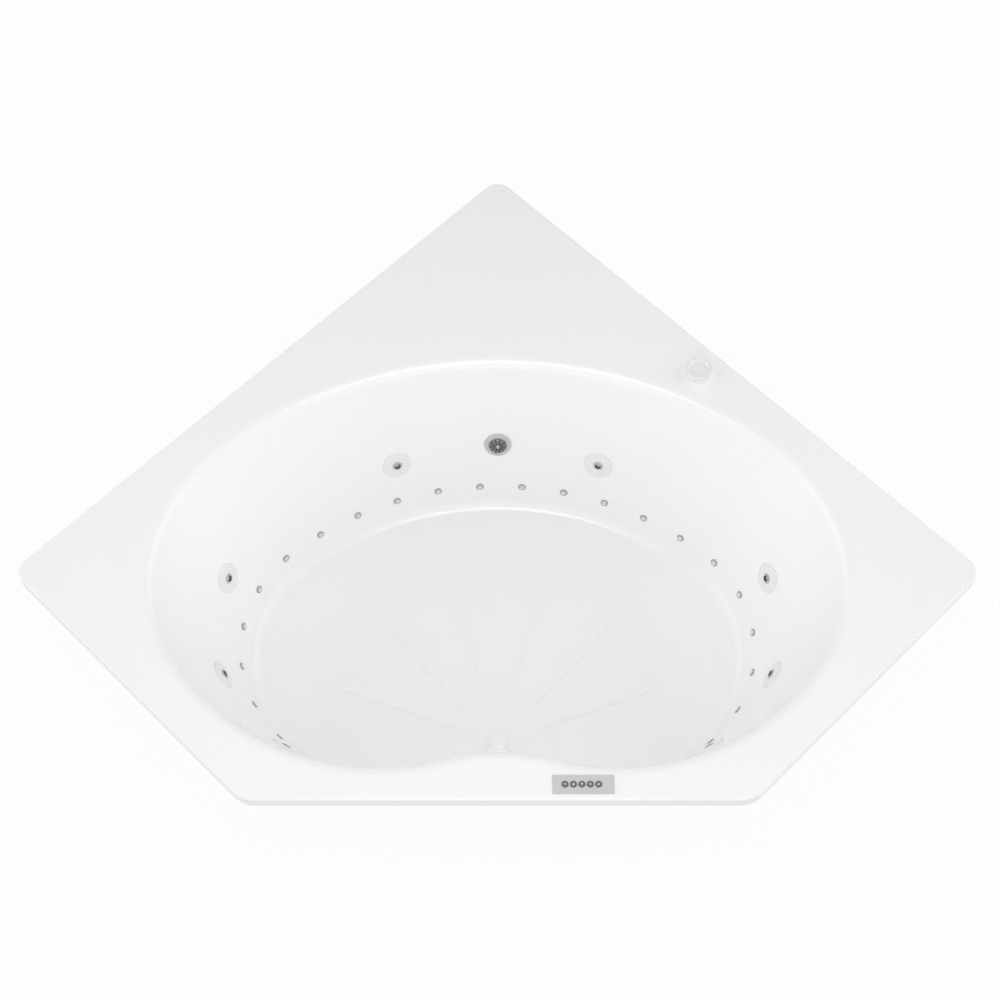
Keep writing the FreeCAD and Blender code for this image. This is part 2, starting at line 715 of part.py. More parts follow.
def tread_ribs():
    """Raised ribs that fan out from the drain over the basin floor."""
    ribs = []
    first, step = value["tread_first"], value["tread_step"]
    half = value["tread_width"] / 2
    for index in range(int((180 - 2 * first) / step + 0.5) + 1):
        near, far = value["tread_start"], value["tread_start"] + value["tread_length"]
        rib = Part.makeBox(far - near, 2 * half, 2 * value["tread_height"], Vector(near, -half, 0))
        for end in (near, far):
            rib = rib.fuse(Part.makeCylinder(half, 2 * value["tread_height"], Vector(end, 0, 0)))
        rib.rotate(Vector(), Vector(0, 0, 1), first + index * step)
        rib.translate(Vector(0, drain_y, basin_floor - value["tread_height"]))
        ribs.append(rib.removeSplitter())
    return ribs


def make_shell():
    wall, lip = value["shell_wall"], value["lip_height"]
    slab = Part.Face(deck_wire(0.0, deck_top - lip)).extrude(Vector(0, 0, lip))
    slab = slab.makeFillet(value["deck_edge_radius"], level_edges(slab, deck_top))
    under = Part.Face(deck_wire(wall, deck_top - 2 * lip)).extrude(Vector(0, 0, 2 * lip - wall))
    outside = drafted(wall / 2, value["basin_depth"] + wall, wall, value["floor_radius"] + wall)
    shell = slab.cut(under).fuse(outside)
    shell = shell.makeFillet(value["rim_radius"] - wall, outline_edges(shell, wall, wall))
    shell = shell.cut(drafted(-2 * wall, value["basin_depth"], 0.0, value["floor_radius"]))
    shell = shell.makeFillet(value["rim_radius"], outline_edges(shell, 0.0, 0.0))
    shell = shell.multiFuse(tread_ribs())
    fit = value["fit"]
    tools = []
    for frame in jet_frames:
        back = max(value["jet_gasket_radius"], value["jet_barrel_radius"]) + fit
        front = value["jet_flange_radius"] + fit
        tools.append(spool(frame, value["jet_neck_radius"] + fit, front, back, value["jet_pad"]))
    for frame in injector_frames:
        hole, cap = value["injector_stem_radius"] + fit, value["injector_cap_radius"] + fit
        tools.append(spool(frame, hole, cap, value["injector_nut_radius"] + fit, value["injector_pad"]))
    hole, flange = value["suction_tail_radius"] + fit, value["suction_flange_radius"] + fit
    back = value["suction_nut_radius"] + fit
    tools.append(spool(suction_frame, hole, flange, back, value["suction_pad"]))
    hole, cap = value["overflow_spigot_radius"] + fit, value["overflow_cap_radius"] + fit
    back = value["overflow_flange_radius"] + fit
    tools.append(spool(overflow_frame, hole, cap, back, value["overflow_pad"]))
    drop = Vector(0, drain_y, base_top - wall)
    tools.append(Part.makeCylinder(value["drain_neck_radius"] + fit, 3 * wall, drop))
    drop = knob_place - Vector(0, 0, 2 * wall)
    tools.append(Part.makeCylinder(value["collar_neck_radius"] + fit, 3 * wall, drop))
    width, length = value["keypad_width"] + 2 * fit, value["keypad_length"] + 2 * fit
    drop = panel_place - Vector(width / 2, length / 2, 2 * wall)
    tools.append(Part.makeBox(width, length, 3 * wall, drop))
    return shell.cut(tools)


node("tub_shell", solid("tub_shell", make_shell()))


# Pipes: tubes along a path, with holes for their branches.

def rounded_path(points, radius):
    """Straight runs joined by tangent arcs."""
    edges = []
    start = points[0]
    for before, corner, after in zip(points, points[1:], points[2:]):
        back, ahead = (before - corner).normalize(), (after - corner).normalize()
        half = back.getAngle(ahead) / 2
        tangent = radius / math.tan(half)
        middle = (back + ahead).normalize()
        crown = corner + middle * (radius / math.sin(half) - radius)
        edges.append(Part.makeLine(start, corner + back * tangent))
        edges.append(Part.Arc(corner + back * tangent, crown, corner + ahead * tangent).toShape())
        start = corner + ahead * tangent
    edges.append(Part.makeLine(start, points[-1]))
    return edges


def swept(edges, radius):
    """Round bar along tangent edges."""
    first = edges[0]
    start = first.valueAt(first.FirstParameter)
    heading = first.tangentAt(first.FirstParameter)
    ring = Part.Wire(Part.makeCircle(radius, start, heading))
    return Part.Wire(edges).makePipeShell([ring], True, False)


def tube(label, edges, outside, inside, holes=()):
    shape = swept(edges, outside).cut(swept(edges, inside))
    if holes:
        shape = shape.cut(list(holes))
    return node(label, solid(label, shape))


def ring_edges(height, offset, end_angle):
    """Path beside the basin from one front end round the back to the other."""
    arcs = basin_arcs(deck_top - height, offset)
    edges = []
    for number in (4, 5, 0, 1, 2):
        centre, radius, start, end = arcs[number]
        start, end = max(start, -end_angle), min(end, end_angle)
        if start < end:
            edges.append(arc_edge((centre, radius, start, end), height))
    return edges


def ring_place(frames, angles, along, behind):
    """Height and offset of a pipe that passes these points of the fittings."""
    spots = [frame.multVec(Vector(0, along, -behind)) for frame in frames]
    height = sum(spot.z for spot in spots) / len(spots)
    arcs = basin_arcs(deck_top - height)
    offsets = []
    for spot, angle in zip(spots, angles):
        centre, radius, start, end = arcs[arc_number(angle)]
        offsets.append(math.hypot(spot.x - centre[0], spot.y - centre[1]) - radius)
    return height, sum(offsets) / len(offsets)


def branch(frame, radius, length, direction):
    """Cutter for a branch that leaves a frame's origin in one of its directions."""
    hole = Part.makeCylinder(radius, length, Vector(), direction)
    hole.Placement = frame.multiply(hole.Placement)
    return hole


signed_jet_angles = [sign * angle for angle in jet_angles for sign in (1, -1)]
port_setback = value["jet_port_setback"]
manifold_height, manifold_offset = ring_place(
    jet_frames, signed_jet_angles, -value["water_port_reach"], port_setback)
air_line_height, air_line_offset = ring_place(
    jet_frames, signed_jet_angles, value["air_port_reach"], port_setback)
air_ring_height, air_ring_offset = ring_place(
    injector_frames, injector_angles, 0.0, value["injector_reach"])
port_frames = [straight_on(frame, z=-port_setback) for frame in jet_frames]


# Water jets: escutcheon, gasket, body behind the wall and the swivelling nozzle.

def moved(frames, distance):
    """Frames moved along their own Z axes."""
    return [straight_on(frame, z=distance) for frame in frames]


def port(name, radius, start, end, height, direction):
    """Rod that leaves a turned piece sideways, from one distance to another, at a height."""
    stub = face_along(rod(name, radius, end - start), direction)
    lift(stub, z=height)
    if direction.x:
        return lift(stub, x=start * direction.x)
    return lift(stub, y=start * direction.y)


DOWN_WALL = Vector(0, -1, 0)
UP_WALL = Vector(0, 1, 0)


def make_jets():
    fit, pad, gasket_thick = size["fit"], size["jet_pad"], size["jet_gasket_thick"]
    neck, neck_length, bore = size["jet_neck_radius"], size["jet_neck_length"], size["jet_bore_radius"]
    flange = size["jet_flange_radius"]
    edge = neck_length + size["jet_flange_edge"]
    crown = neck_length + size["jet_flange_rise"]
    trim = turned("jet_trim", [
        (bore, None), (neck, None), (neck, neck_length), (flange, neck_length),
        (flange, edge), (neck, crown), (bore, crown),
    ], [(flange, edge, size["jet_flange_edge"] * 0.6)])
    seat = bind(doc.addObject("Part::Sphere", "jet_seat"), Radius=size["ball_radius"] + fit)
    lift(seat, z=neck_length - size["ball_sink"])
    escutcheon = cut("jet_escutcheon", trim, seat)
    group("jet_escutcheons", (escutcheon, moved(jet_frames, -neck_length.number)))

    lip = size["jet_gasket_radius"]
    gasket = turned("jet_gasket", [
        (neck + fit, None), (lip, None), (lip, gasket_thick), (neck + fit, gasket_thick),
    ])
    group("jet_gaskets", (gasket, moved(jet_frames, -(pad + gasket_thick).number)))

    barrel, length, wall = size["jet_barrel_radius"], size["jet_barrel_length"], size["jet_barrel_wall"]
    socket = neck + size["thread_fit"]
    cup = turned("jet_cup", [
        (None, None), (barrel - wall, None), (barrel, wall), (barrel, length - wall),
        (lip, length - wall), (lip, length), (socket, length), (socket, wall), (None, wall),
    ])
    behind = pad + gasket_thick + length
    height = behind - size["jet_port_setback"]
    root = barrel - wall * 0.5
    water, air, thin = size["water_port_radius"], size["air_port_radius"], size["port_wall"]
    water_end = size["water_port_reach"] - size["manifold_radius"] + size["manifold_wall"] * 2
    air_end = size["air_port_reach"] - size["air_line_radius"] + size["air_line_wall"] * 2
    outside = join(
        "jet_body_outside", cup,
        port("jet_water_port", water, root, water_end, height, DOWN_WALL),
        port("jet_air_port", air, root, air_end, height, UP_WALL))
    body = cut(
        "jet_body", outside,
        port("jet_water_bore", water - thin, fixed(0.0), water_end, height, DOWN_WALL),
        port("jet_air_bore", air - thin, fixed(0.0), air_end, height, UP_WALL))
    group("jet_bodies", (body, moved(jet_frames, -behind.number)))

    ball, front, back = size["ball_radius"], size["nozzle_front"], size["nozzle_back"]
    globe = bind(doc.addObject("Part::Sphere", "nozzle_ball"), Radius=ball)
    middle = lift(rod("nozzle_middle", ball * 2.0, front + back), z=back * -1.0)
    trimmed = doc.addObject("Part::Common", "nozzle_trimmed")
    trimmed.Base = globe
    trimmed.Tool = middle
    waterway = lift(rod("nozzle_waterway", size["nozzle_bore"], front + back), z=back * -1.0)
    mouth = bind(doc.addObject("Part::Cone", "nozzle_mouth"), Radius1=size["nozzle_bore"],
                 Radius2=size["nozzle_flare"], Height=size["nozzle_flare_depth"])
    lift(mouth, z=front - size["nozzle_flare_depth"])
    nozzle = cut("nozzle", trimmed, waterway, mouth)
    doc.recompute()
    for number, frame in enumerate(moved(jet_frames, -value["ball_sink"]), 1):
        label = "jet_nozzle_%d" % number
        node(label, solid(label, nozzle.Shape), frame)


make_jets()


# Air injectors: caps with hollow stems, and the nuts behind the wall.

def make_injectors():
    stem, cap, bore = size["injector_stem_radius"], size["injector_cap_radius"], size["injector_bore"]
    length = size["injector_reach"] - size["air_ring_radius"] + size["air_ring_wall"] * 2
    side = length + size["injector_cap_rise"] * 0.5
    top = length + size["injector_cap_rise"]
    injector = turned("air_injector", [
        (bore, None), (stem, None), (stem, length), (cap, length), (cap, side), (cap * 0.6, top), (bore, top),
    ])
    group("air_injectors", (injector, moved(injector_frames, -length.number)))
    thick = size["injector_nut_thick"]
    nut = cut("air_injector_nut", hexagon("injector_hexagon", size["injector_nut_radius"], thick),
              rod("injector_thread", stem + size["thread_fit"], thick))
    return nut, moved(injector_frames, -(size["injector_pad"] + thick).number)


injector_nuts = make_injectors()


# Suction fitting on the back wall and the pipe to the pump.

def make_suction():
    fit, tail, bore = size["fit"], size["suction_tail_radius"], size["suction_bore"]
    length, flange = size["suction_tail_length"], size["suction_flange_radius"]
    rim = length + size["suction_flange_thick"]
    seat = length + size["suction_seat"]
    cover = size["cover_radius"]
    shell = turned("suction_shell", [
        (bore, None), (tail, None), (tail, length), (flange, length), (flange, length + size["suction_seat"]),
        (flange - size["suction_seat"], rim), (cover + fit, rim), (cover + fit, seat), (bore, seat),
    ])
    bar_width, bar_thick = size["suction_bar_width"], size["suction_bar_thick"]
    bar = block("suction_bar", bore * 2.0 + fit, bar_width, bar_thick)
    lift(bar, x=(bore + fit * 0.5) * -1.0, y=bar_width * -0.5, z=seat - bar_thick)
    shank, grip = size["cover_shank_radius"], bar_thick + size["cover_rise"]
    hole = lift(rod("suction_bar_hole", shank + size["thread_fit"], grip), z=seat - bar_thick)
    body = cut("suction_body", join("suction_shell_and_bar", shell, bar), hole)
    node("suction_body", body, straight_on(suction_frame, z=-length.number))

    thick = size["suction_nut_thick"]
    nut = cut("suction_nut", hexagon("suction_hexagon", size["suction_nut_radius"], thick),
              rod("suction_thread", tail + size["thread_fit"], thick))
    nut_places = [straight_on(suction_frame, z=-(size["suction_pad"] + thick).number)]

    rise, wall, shoulder = size["cover_rise"], size["cover_wall"], size["cover_shoulder"]
    crown = cover * 0.6
    dome = turned("cover_dome", [
        (cover - wall, None), (cover, None), (cover, shoulder), (crown, rise), (shank + fit, rise),
        (shank + fit, rise - wall), (crown - wall * 0.5, rise - wall), (cover - wall, shoulder - wall * 0.5),
    ])
    slot = block("cover_slot", cover * 0.6, size["cover_slot_width"], rise)
    lift(slot, x=cover * 0.28, y=size["cover_slot_width"] * -0.5, z=shoulder * 0.3)
    slots = round_array("cover_slot_ring", slot, count["cover_slots"])
    node("suction_cover", cut("suction_cover", dome, slots),
         straight_on(suction_frame, z=value["suction_seat"]))

    head = size["cover_screw_radius"]
    screw = turned("suction_screw", [
        (None, None), (shank, None), (shank, grip), (head, grip),
        (head * 0.8, grip + size["cover_screw_rise"]), (None, grip + size["cover_screw_rise"]),
    ])
    screw_places = [straight_on(suction_frame, z=value["suction_seat"] - bar_thick.number)]
    return (nut, nut_places), (screw, screw_places)


suction_nut, suction_screw = make_suction()

pipe_inside = value["suction_tail_radius"] + value["thread_fit"]
outward = suction_frame.Rotation.multVec(Vector(0, 0, -1))
pipe_start = suction_frame.multVec(Vector(0, 0, value["pipe_socket"] - value["suction_tail_length"]))
bend_tangent = value["suction_bend"] * math.tan(math.acos(outward.y) / 2)
pipe_corner = pipe_start + outward * (value["suction_run"] + bend_tangent)
pipe_finish = pipe_corner + Vector(0, value["suction_run"] + bend_tangent, 0)
tube("suction_pipe", rounded_path([pipe_start, pipe_corner, pipe_finish], value["suction_bend"]),
     pipe_inside + value["pipe_wall"], pipe_inside)
pump_place = pipe_finish - Vector(0, value["pipe_socket"], 0)
pump_turn = FreeCAD.Rotation(Vector(1, 0, 0), Vector(0, 0, -1), Vector(0, 1, 0), "ZYX")
pump_frame = FreeCAD.Placement(pump_place, pump_turn)


# Pump and motor. Heights run back along the shaft from the pump's inlet; the frame's Y points down.

casing_front = size["pump_inlet_length"]
casing_back = casing_front + size["volute_length"]
motor_front = casing_back + size["seal_plate_thick"]
motor_back = motor_front + size["motor_length"]
vane_back = casing_back - size["impeller_gap"] - size["impeller_thick"]
vane_front = vane_back - size["vane_height"]
shaft_front = vane_front + size["impeller_thick"]
fan_front = motor_back + size["fan_gap"]
fan_back = fan_front + size["fan_width"]
bolt_circle = (size["volute_radius"] + size["pump_flange_radius"]) * 0.5
discharge_drop = pump_place.z - manifold_height
discharge_height = casing_front + size["discharge_setback"]


def on_pump(height):
    return straight_on(pump_frame, z=height.number)


def bolt_holes(name, length):
    hole = lift(rod(name + "_hole", size["bolt_radius"] + size["fit"], length), x=bolt_circle)
    return round_array(name + "_holes", hole, count["bolt_count"])


def make_pump():
    inlet, bore, wall = size["suction_tail_radius"], size["suction_bore"], size["volute_wall"]
    radius = size["volute_radius"]
    flange, flange_thick = size["pump_flange_radius"], size["pump_flange_thick"]
    outside = turned("volute_outside", [
        (None, None), (inlet, None), (inlet, casing_front), (radius - wall * 2.0, casing_front),
        (radius, casing_front + wall * 2.0), (radius, casing_back - flange_thick),
        (flange, casing_back - flange_thick), (flange, casing_back), (None, casing_back),
    ])
    cavity = turned("volute_cavity", [
        (None, None), (bore, None), (bore, casing_front + wall), (radius - wall * 3.0, casing_front + wall),
        (radius - wall, casing_front + wall * 3.0), (radius - wall, casing_back), (None, casing_back),
    ])
    outlet, reach = size["discharge_radius"], size["discharge_reach"]
    spigot = rod("discharge", outlet, reach)
    waterway = rod("discharge_waterway", outlet - size["port_wall"], reach)
    for piece in (spigot, waterway):
        face_along(piece, Vector(1, 0, 0))
        lift(piece, y=fixed(discharge_drop), z=discharge_height)
    casing = cut("pump_volute", join("volute_and_discharge", outside, spigot),
                 cavity, waterway, bolt_holes("volute", casing_back))
    node("pump_volute", casing, pump_frame)

    shaft, plate = size["shaft_radius"], size["seal_plate_thick"]
    disc = turned("seal_disc", [
        (shaft + size["fit"], None), (flange, None), (flange, plate), (shaft + size["fit"], plate),
    ])
    holes = bolt_holes("seal_plate", plate)
    node("pump_seal_plate", cut("pump_seal_plate", disc, holes), on_pump(casing_back))

    hub, reach, thick = size["impeller_hub_radius"], size["impeller_radius"], size["impeller_thick"]
    vane_height, key = size["vane_height"], shaft + size["thread_fit"]
    back = vane_height + thick
    shroud = turned("impeller_shroud", [
        (None, None), (hub, None), (hub, vane_height), (reach, vane_height), (reach, back),
        (key, back), (key, thick), (None, thick),
    ])
    vane = block("impeller_vane", reach - hub - thick, size["vane_thick"], vane_height + thick * 0.5)
    vane.Placement.Rotation = FreeCAD.Rotation(Vector(0, 0, 1), -value["vane_lean"])
    lift(vane, x=hub - size["vane_thick"])
    vanes = round_array("impeller_vanes", vane, count["vane_count"])
    node("pump_impeller", join("pump_impeller", shroud, vanes), on_pump(vane_front))

    head, shank, cap = size["bolt_head_radius"], size["bolt_radius"], size["bolt_head_thick"]
    grip = cap + flange_thick * 2.0 + plate
    bolt = turned("pump_bolt", [
        (None, None), (head, None), (head, cap), (shank, cap), (shank, grip), (head, grip),
        (head, grip + cap), (None, grip + cap),
    ])
    heads = on_pump(casing_back - flange_thick - cap)
    ring = spun(count["bolt_count"], bolt_circle.number)
    group("pump_bolts", (bolt, [heads.multiply(place) for place in ring]))


def make_motor():
    fit, snug, shaft = size["fit"], size["thread_fit"], size["shaft_radius"]
    frame, wall, length = size["motor_radius"], size["motor_wall"], size["motor_length"]
    bell, bearing, width = size["motor_bell"], size["bearing_radius"], size["bearing_width"]
    flange, flange_thick = size["pump_flange_radius"], size["pump_flange_thick"]
    seat = bearing + size["bearing_fit"]
    case = turned("motor_case", [
        (shaft + fit, None), (flange, None), (flange, flange_thick), (frame, flange_thick), (frame, length),
        (shaft + fit, length), (shaft + fit, length - bell + width), (seat, length - bell + width),
        (seat, length - bell), (frame - wall, length - bell), (frame - wall, bell), (seat, bell),
        (seat, bell - width), (shaft + fit, bell - width),
    ])
    fin_start = flange_thick + size["bolt_head_thick"] * 2.0
    overlap = size["fan_cover_overlap"]
    fin = block("motor_fin", size["fin_height"] + fit, size["fin_thick"], length - fin_start - overlap * 1.5)
    lift(fin, x=frame - fit, y=size["fin_thick"] * -0.5, z=fin_start)
    fins = round_array("motor_fins", fin, count["fin_count"])
    finned = join("motor_case_and_fins", case, fins)
    node("motor_body", cut("motor_body", finned, bolt_holes("motor", flange_thick)), on_pump(motor_front))

    ring = turned("motor_bearing", [
        (shaft + size["bearing_fit"], None), (bearing, None), (bearing, width),
        (shaft + size["bearing_fit"], width),
    ])
    seats = [motor_front + bell - width, motor_back - bell]
    group("motor_bearings", (ring, [on_pump(height) for height in seats]))

    core, pack, gap = size["rotor_radius"], size["stator_length"], size["air_gap"]
    middle = motor_front + length * 0.5
    stator = turned("motor_stator", [
        (core + gap, None), (frame - wall - snug, None), (frame - wall - snug, pack), (core + gap, pack),
    ])
    node("motor_stator", stator, on_pump(middle - pack * 0.5))

    core_front = middle - size["rotor_length"] * 0.5 - shaft_front
    core_back = core_front + size["rotor_length"]
    rotor = turned("motor_rotor", [
        (None, None), (shaft, None), (shaft, core_front), (core, core_front), (core, core_back),
        (shaft, core_back), (shaft, fan_back - shaft_front), (None, fan_back - shaft_front),
    ])
    node("motor_rotor", rotor, on_pump(shaft_front))

    hub, blade_width = size["impeller_hub_radius"], size["fan_width"]
    boss = turned("fan_boss", [
        (shaft + snug, None), (hub, None), (hub, blade_width), (shaft + snug, blade_width),
    ])
    blade = block("fan_blade", size["fan_radius"] - hub, size["fin_thick"], blade_width)
    lift(blade, x=hub - size["fin_thick"], y=size["fin_thick"] * -0.5)
    node("motor_fan", join("motor_fan", boss, round_array("fan_blades", blade, count["vane_count"])),
         on_pump(fan_front))

    thin, cover_length, inside = size["fan_cover_wall"], size["fan_cover_length"], frame + snug
    dome = turned("fan_dome", [
        (inside, None), (inside + thin, None), (inside + thin, cover_length), (None, cover_length),
        (None, cover_length - thin), (inside, cover_length - thin),
    ], [(inside + thin, cover_length, thin * 1.5)])
    vent = block("fan_vent", frame * 0.5, size["vent_width"], cover_length)
    lift(vent, x=frame * 0.28, y=size["vent_width"] * -0.5, z=cover_length * 0.5)
    vents = round_array("fan_vents", vent, count["vent_count"])
    node("motor_fan_cover", cut("motor_fan_cover", dome, vents), on_pump(motor_back - overlap))

    saddle_height = fixed(pump_place.z - base_top) - size["foot_drop"]
    saddle = block("foot_block", size["foot_width"], saddle_height, size["foot_length"])
    lift(saddle, x=size["foot_width"] * -0.5, y=size["foot_drop"])
    cradle = rod("foot_cradle", frame + size["fin_height"] + snug, size["foot_length"])
    node("pump_foot", cut("pump_foot", saddle, cradle), on_pump(motor_front + size["foot_setback"]))


make_pump()
make_motor()


# Pipes of the water and air systems.

def ring_pipe(label, height, offset, last_angle, radius, wall, holes):
    """Pipe with closed ends round the back of the basin."""
    bend = basin_arcs(deck_top - height, offset)[2][1]
    end = last_angle + value["pipe_end"] / bend
    outside = swept(ring_edges(height, offset, end), radius)
    inside = swept(ring_edges(height, offset, end - wall / bend), radius - wall)
    node(label, solid(label, outside.cut([inside] + holes)))


def back_arc_y(height, offset, x):
    """Where a pipe behind the back arc passes a given X."""
    centre, radius, start, end = basin_arcs(deck_top - height, offset)[0]
    return centre[1] + math.sqrt(radius ** 2 - x ** 2)


def make_water_pipes():
    fit, radius, wall = value["fit"], value["manifold_radius"], value["manifold_wall"]
    inside = value["discharge_radius"] + value["thread_fit"]
    outside = inside + value["pipe_wall"]
    side = value["outlet_side"]
    middle = back_arc_y(manifold_height, manifold_offset, side)
    start = pump_frame.multVec(
        Vector(value["discharge_reach"] - value["pipe_socket"], discharge_drop, discharge_height.number))
    corner = Vector(side, start.y, start.z)
    finish = Vector(side, middle + radius - 2 * wall, start.z)
    tube("outlet_pipe", rounded_path([start, corner, finish], value["outlet_bend"]), outside, inside)
    holes = [Part.makeCylinder(outside + fit, 2 * radius, Vector(side, middle, start.z), Vector(0, 1, 0))]
    for frame in port_frames:
        holes.append(branch(frame, value["water_port_radius"] + fit, value["water_port_reach"], DOWN_WALL))
    ring_pipe("water_manifold", manifold_height, manifold_offset, jet_angles[-1], radius, wall, holes)


def make_air_pipes():
    fit, radius, wall = value["fit"], value["air_line_radius"], value["air_line_wall"]
    inside = value["collar_tail_radius"] + value["thread_fit"]
    outside = inside + value["air_pipe_wall"]
    centre, bend = basin_arcs(deck_top - air_line_height, air_line_offset)[0][:2]
    corner = Vector(knob_place.x, knob_place.y, air_line_height)
    towards = (Vector(*centre, air_line_height) - corner).normalize()
    middle = Vector(*centre, air_line_height) - towards * bend
    tail = value["collar_neck_length"] + value["collar_tail_length"] - value["pipe_socket"]
    start = knob_place - Vector(0, 0, tail)
    finish = middle - towards * (radius - 2 * wall)
    tube("air_control_pipe", rounded_path([start, corner, finish], value["air_pipe_bend"]), outside, inside)
    holes = [Part.makeCylinder(outside + fit, 2 * radius, middle, towards.negative())]
    for frame in port_frames:
        holes.append(branch(frame, value["air_port_radius"] + fit, value["air_port_reach"], UP_WALL))
    ring_pipe("jet_air_line", air_line_height, air_line_offset, jet_angles[-1], radius, wall, holes)

    inside = value["blower_port_radius"] + value["thread_fit"]
    outside = inside + value["air_pipe_wall"]
    radius, wall, side = value["air_ring_radius"], value["air_ring_wall"], -value["blower_side"]
    middle = back_arc_y(air_ring_height, air_ring_offset, side)
    start_y = corner_y - value["blower_setback"] - value["blower_port_reach"] + value["pipe_socket"]
    start = Vector(side, start_y, air_ring_height)
    finish = Vector(side, middle + radius - 2 * wall, air_ring_height)
    tube("blower_pipe", [Part.makeLine(start, finish)], outside, inside)
    joint = Vector(side, middle, air_ring_height)
    holes = [Part.makeCylinder(outside + fit, 2 * radius, joint, Vector(0, 1, 0))]
    for frame in injector_frames:
        hole = value["injector_stem_radius"] + fit
        holes.append(branch(frame, hole, value["injector_reach"], Vector(0, 0, -1)))
    last = max(abs(angle) for angle in injector_angles)
    ring_pipe("air_ring", air_ring_height, air_ring_offset, last, radius, wall, holes)


make_water_pipes()
make_air_pipes()


# Air blower on the base board.

def make_blower():
    radius, foot, height = size["blower_radius"], size["blower_foot_radius"], size["blower_height"]
    wall, lid = size["blower_wall"], size["blower_lid_thick"]
    place = Vector(-value["blower_side"], corner_y - value["blower_setback"], base_top)
    frame = FreeCAD.Placement(place, FreeCAD.Rotation())
    drum = turned("blower_drum", [
        (None, None), (foot, None), (foot, wall), (radius, wall), (radius, height), (None, height),
    ])
    cavity = turned("blower_cavity", [
        (None, wall), (radius - wall, wall), (radius - wall, height), (None, height),
    ])
    rise = fixed(air_ring_height - base_top)
    outlet, end, back = size["blower_port_radius"], size["blower_port_reach"], Vector(0, -1, 0)
    outside = join("blower_outside", drum, port("blower_port", outlet, radius - wall, end, rise, back))
    bore = port("blower_port_bore", outlet - size["port_wall"], fixed(0.0), end, rise, back)
    node("blower_body", cut("blower_body", outside, cavity, bore), frame)

    plate = turned("blower_plate", [(None, None), (foot, None), (foot, lid), (None, lid)],
                   [(foot, lid, lid * 0.4)])
    vent = block("blower_vent", radius * 0.45, size["vent_width"], lid)
    lift(vent, x=radius * 0.3, y=size["vent_width"] * -0.5)
    vents = round_array("blower_vents", vent, count["vent_count"])
    node("blower_lid", cut("blower_lid", plate, vents), straight_on(frame, z=height.number))

    case, tall, shaft = size["blower_motor_radius"], size["blower_motor_height"], size["blower_shaft_radius"]
    sleeve = shaft + size["bearing_fit"]
    motor = turned("blower_motor", [
        (None, None), (case, None), (case, tall), (sleeve, tall), (sleeve, tall * 0.5), (None, tall * 0.5),
    ], [(case, tall, wall)])
    node("blower_motor", motor, straight_on(frame, z=wall.number))

    reach, blade_height = size["blower_fan_radius"], size["blower_fan_height"]
    disc, disc_top = tall * 0.5 + wall, tall * 0.5 + wall * 2.0
    hub = turned("blower_hub", [
        (None, None), (shaft, None), (shaft, disc), (reach, disc), (reach, disc_top),
        (shaft * 3.0, disc_top), (shaft * 3.0, disc_top + blade_height), (None, disc_top + blade_height),
    ])
    blade = block("blower_blade", reach * 0.4, wall * 0.6, blade_height + wall * 0.5)
    lift(blade, x=reach * 0.55, y=wall * -0.3, z=disc_top - wall * 0.5)
    blades = round_array("blower_blade_ring", blade, count["blower_blades"])
    start = wall + tall * 0.5 + size["fit"]
    node("blower_fan", join("blower_fan", hub, blades), straight_on(frame, z=start.number))


make_blower()


# Control box with its lid, screws and cable glands.

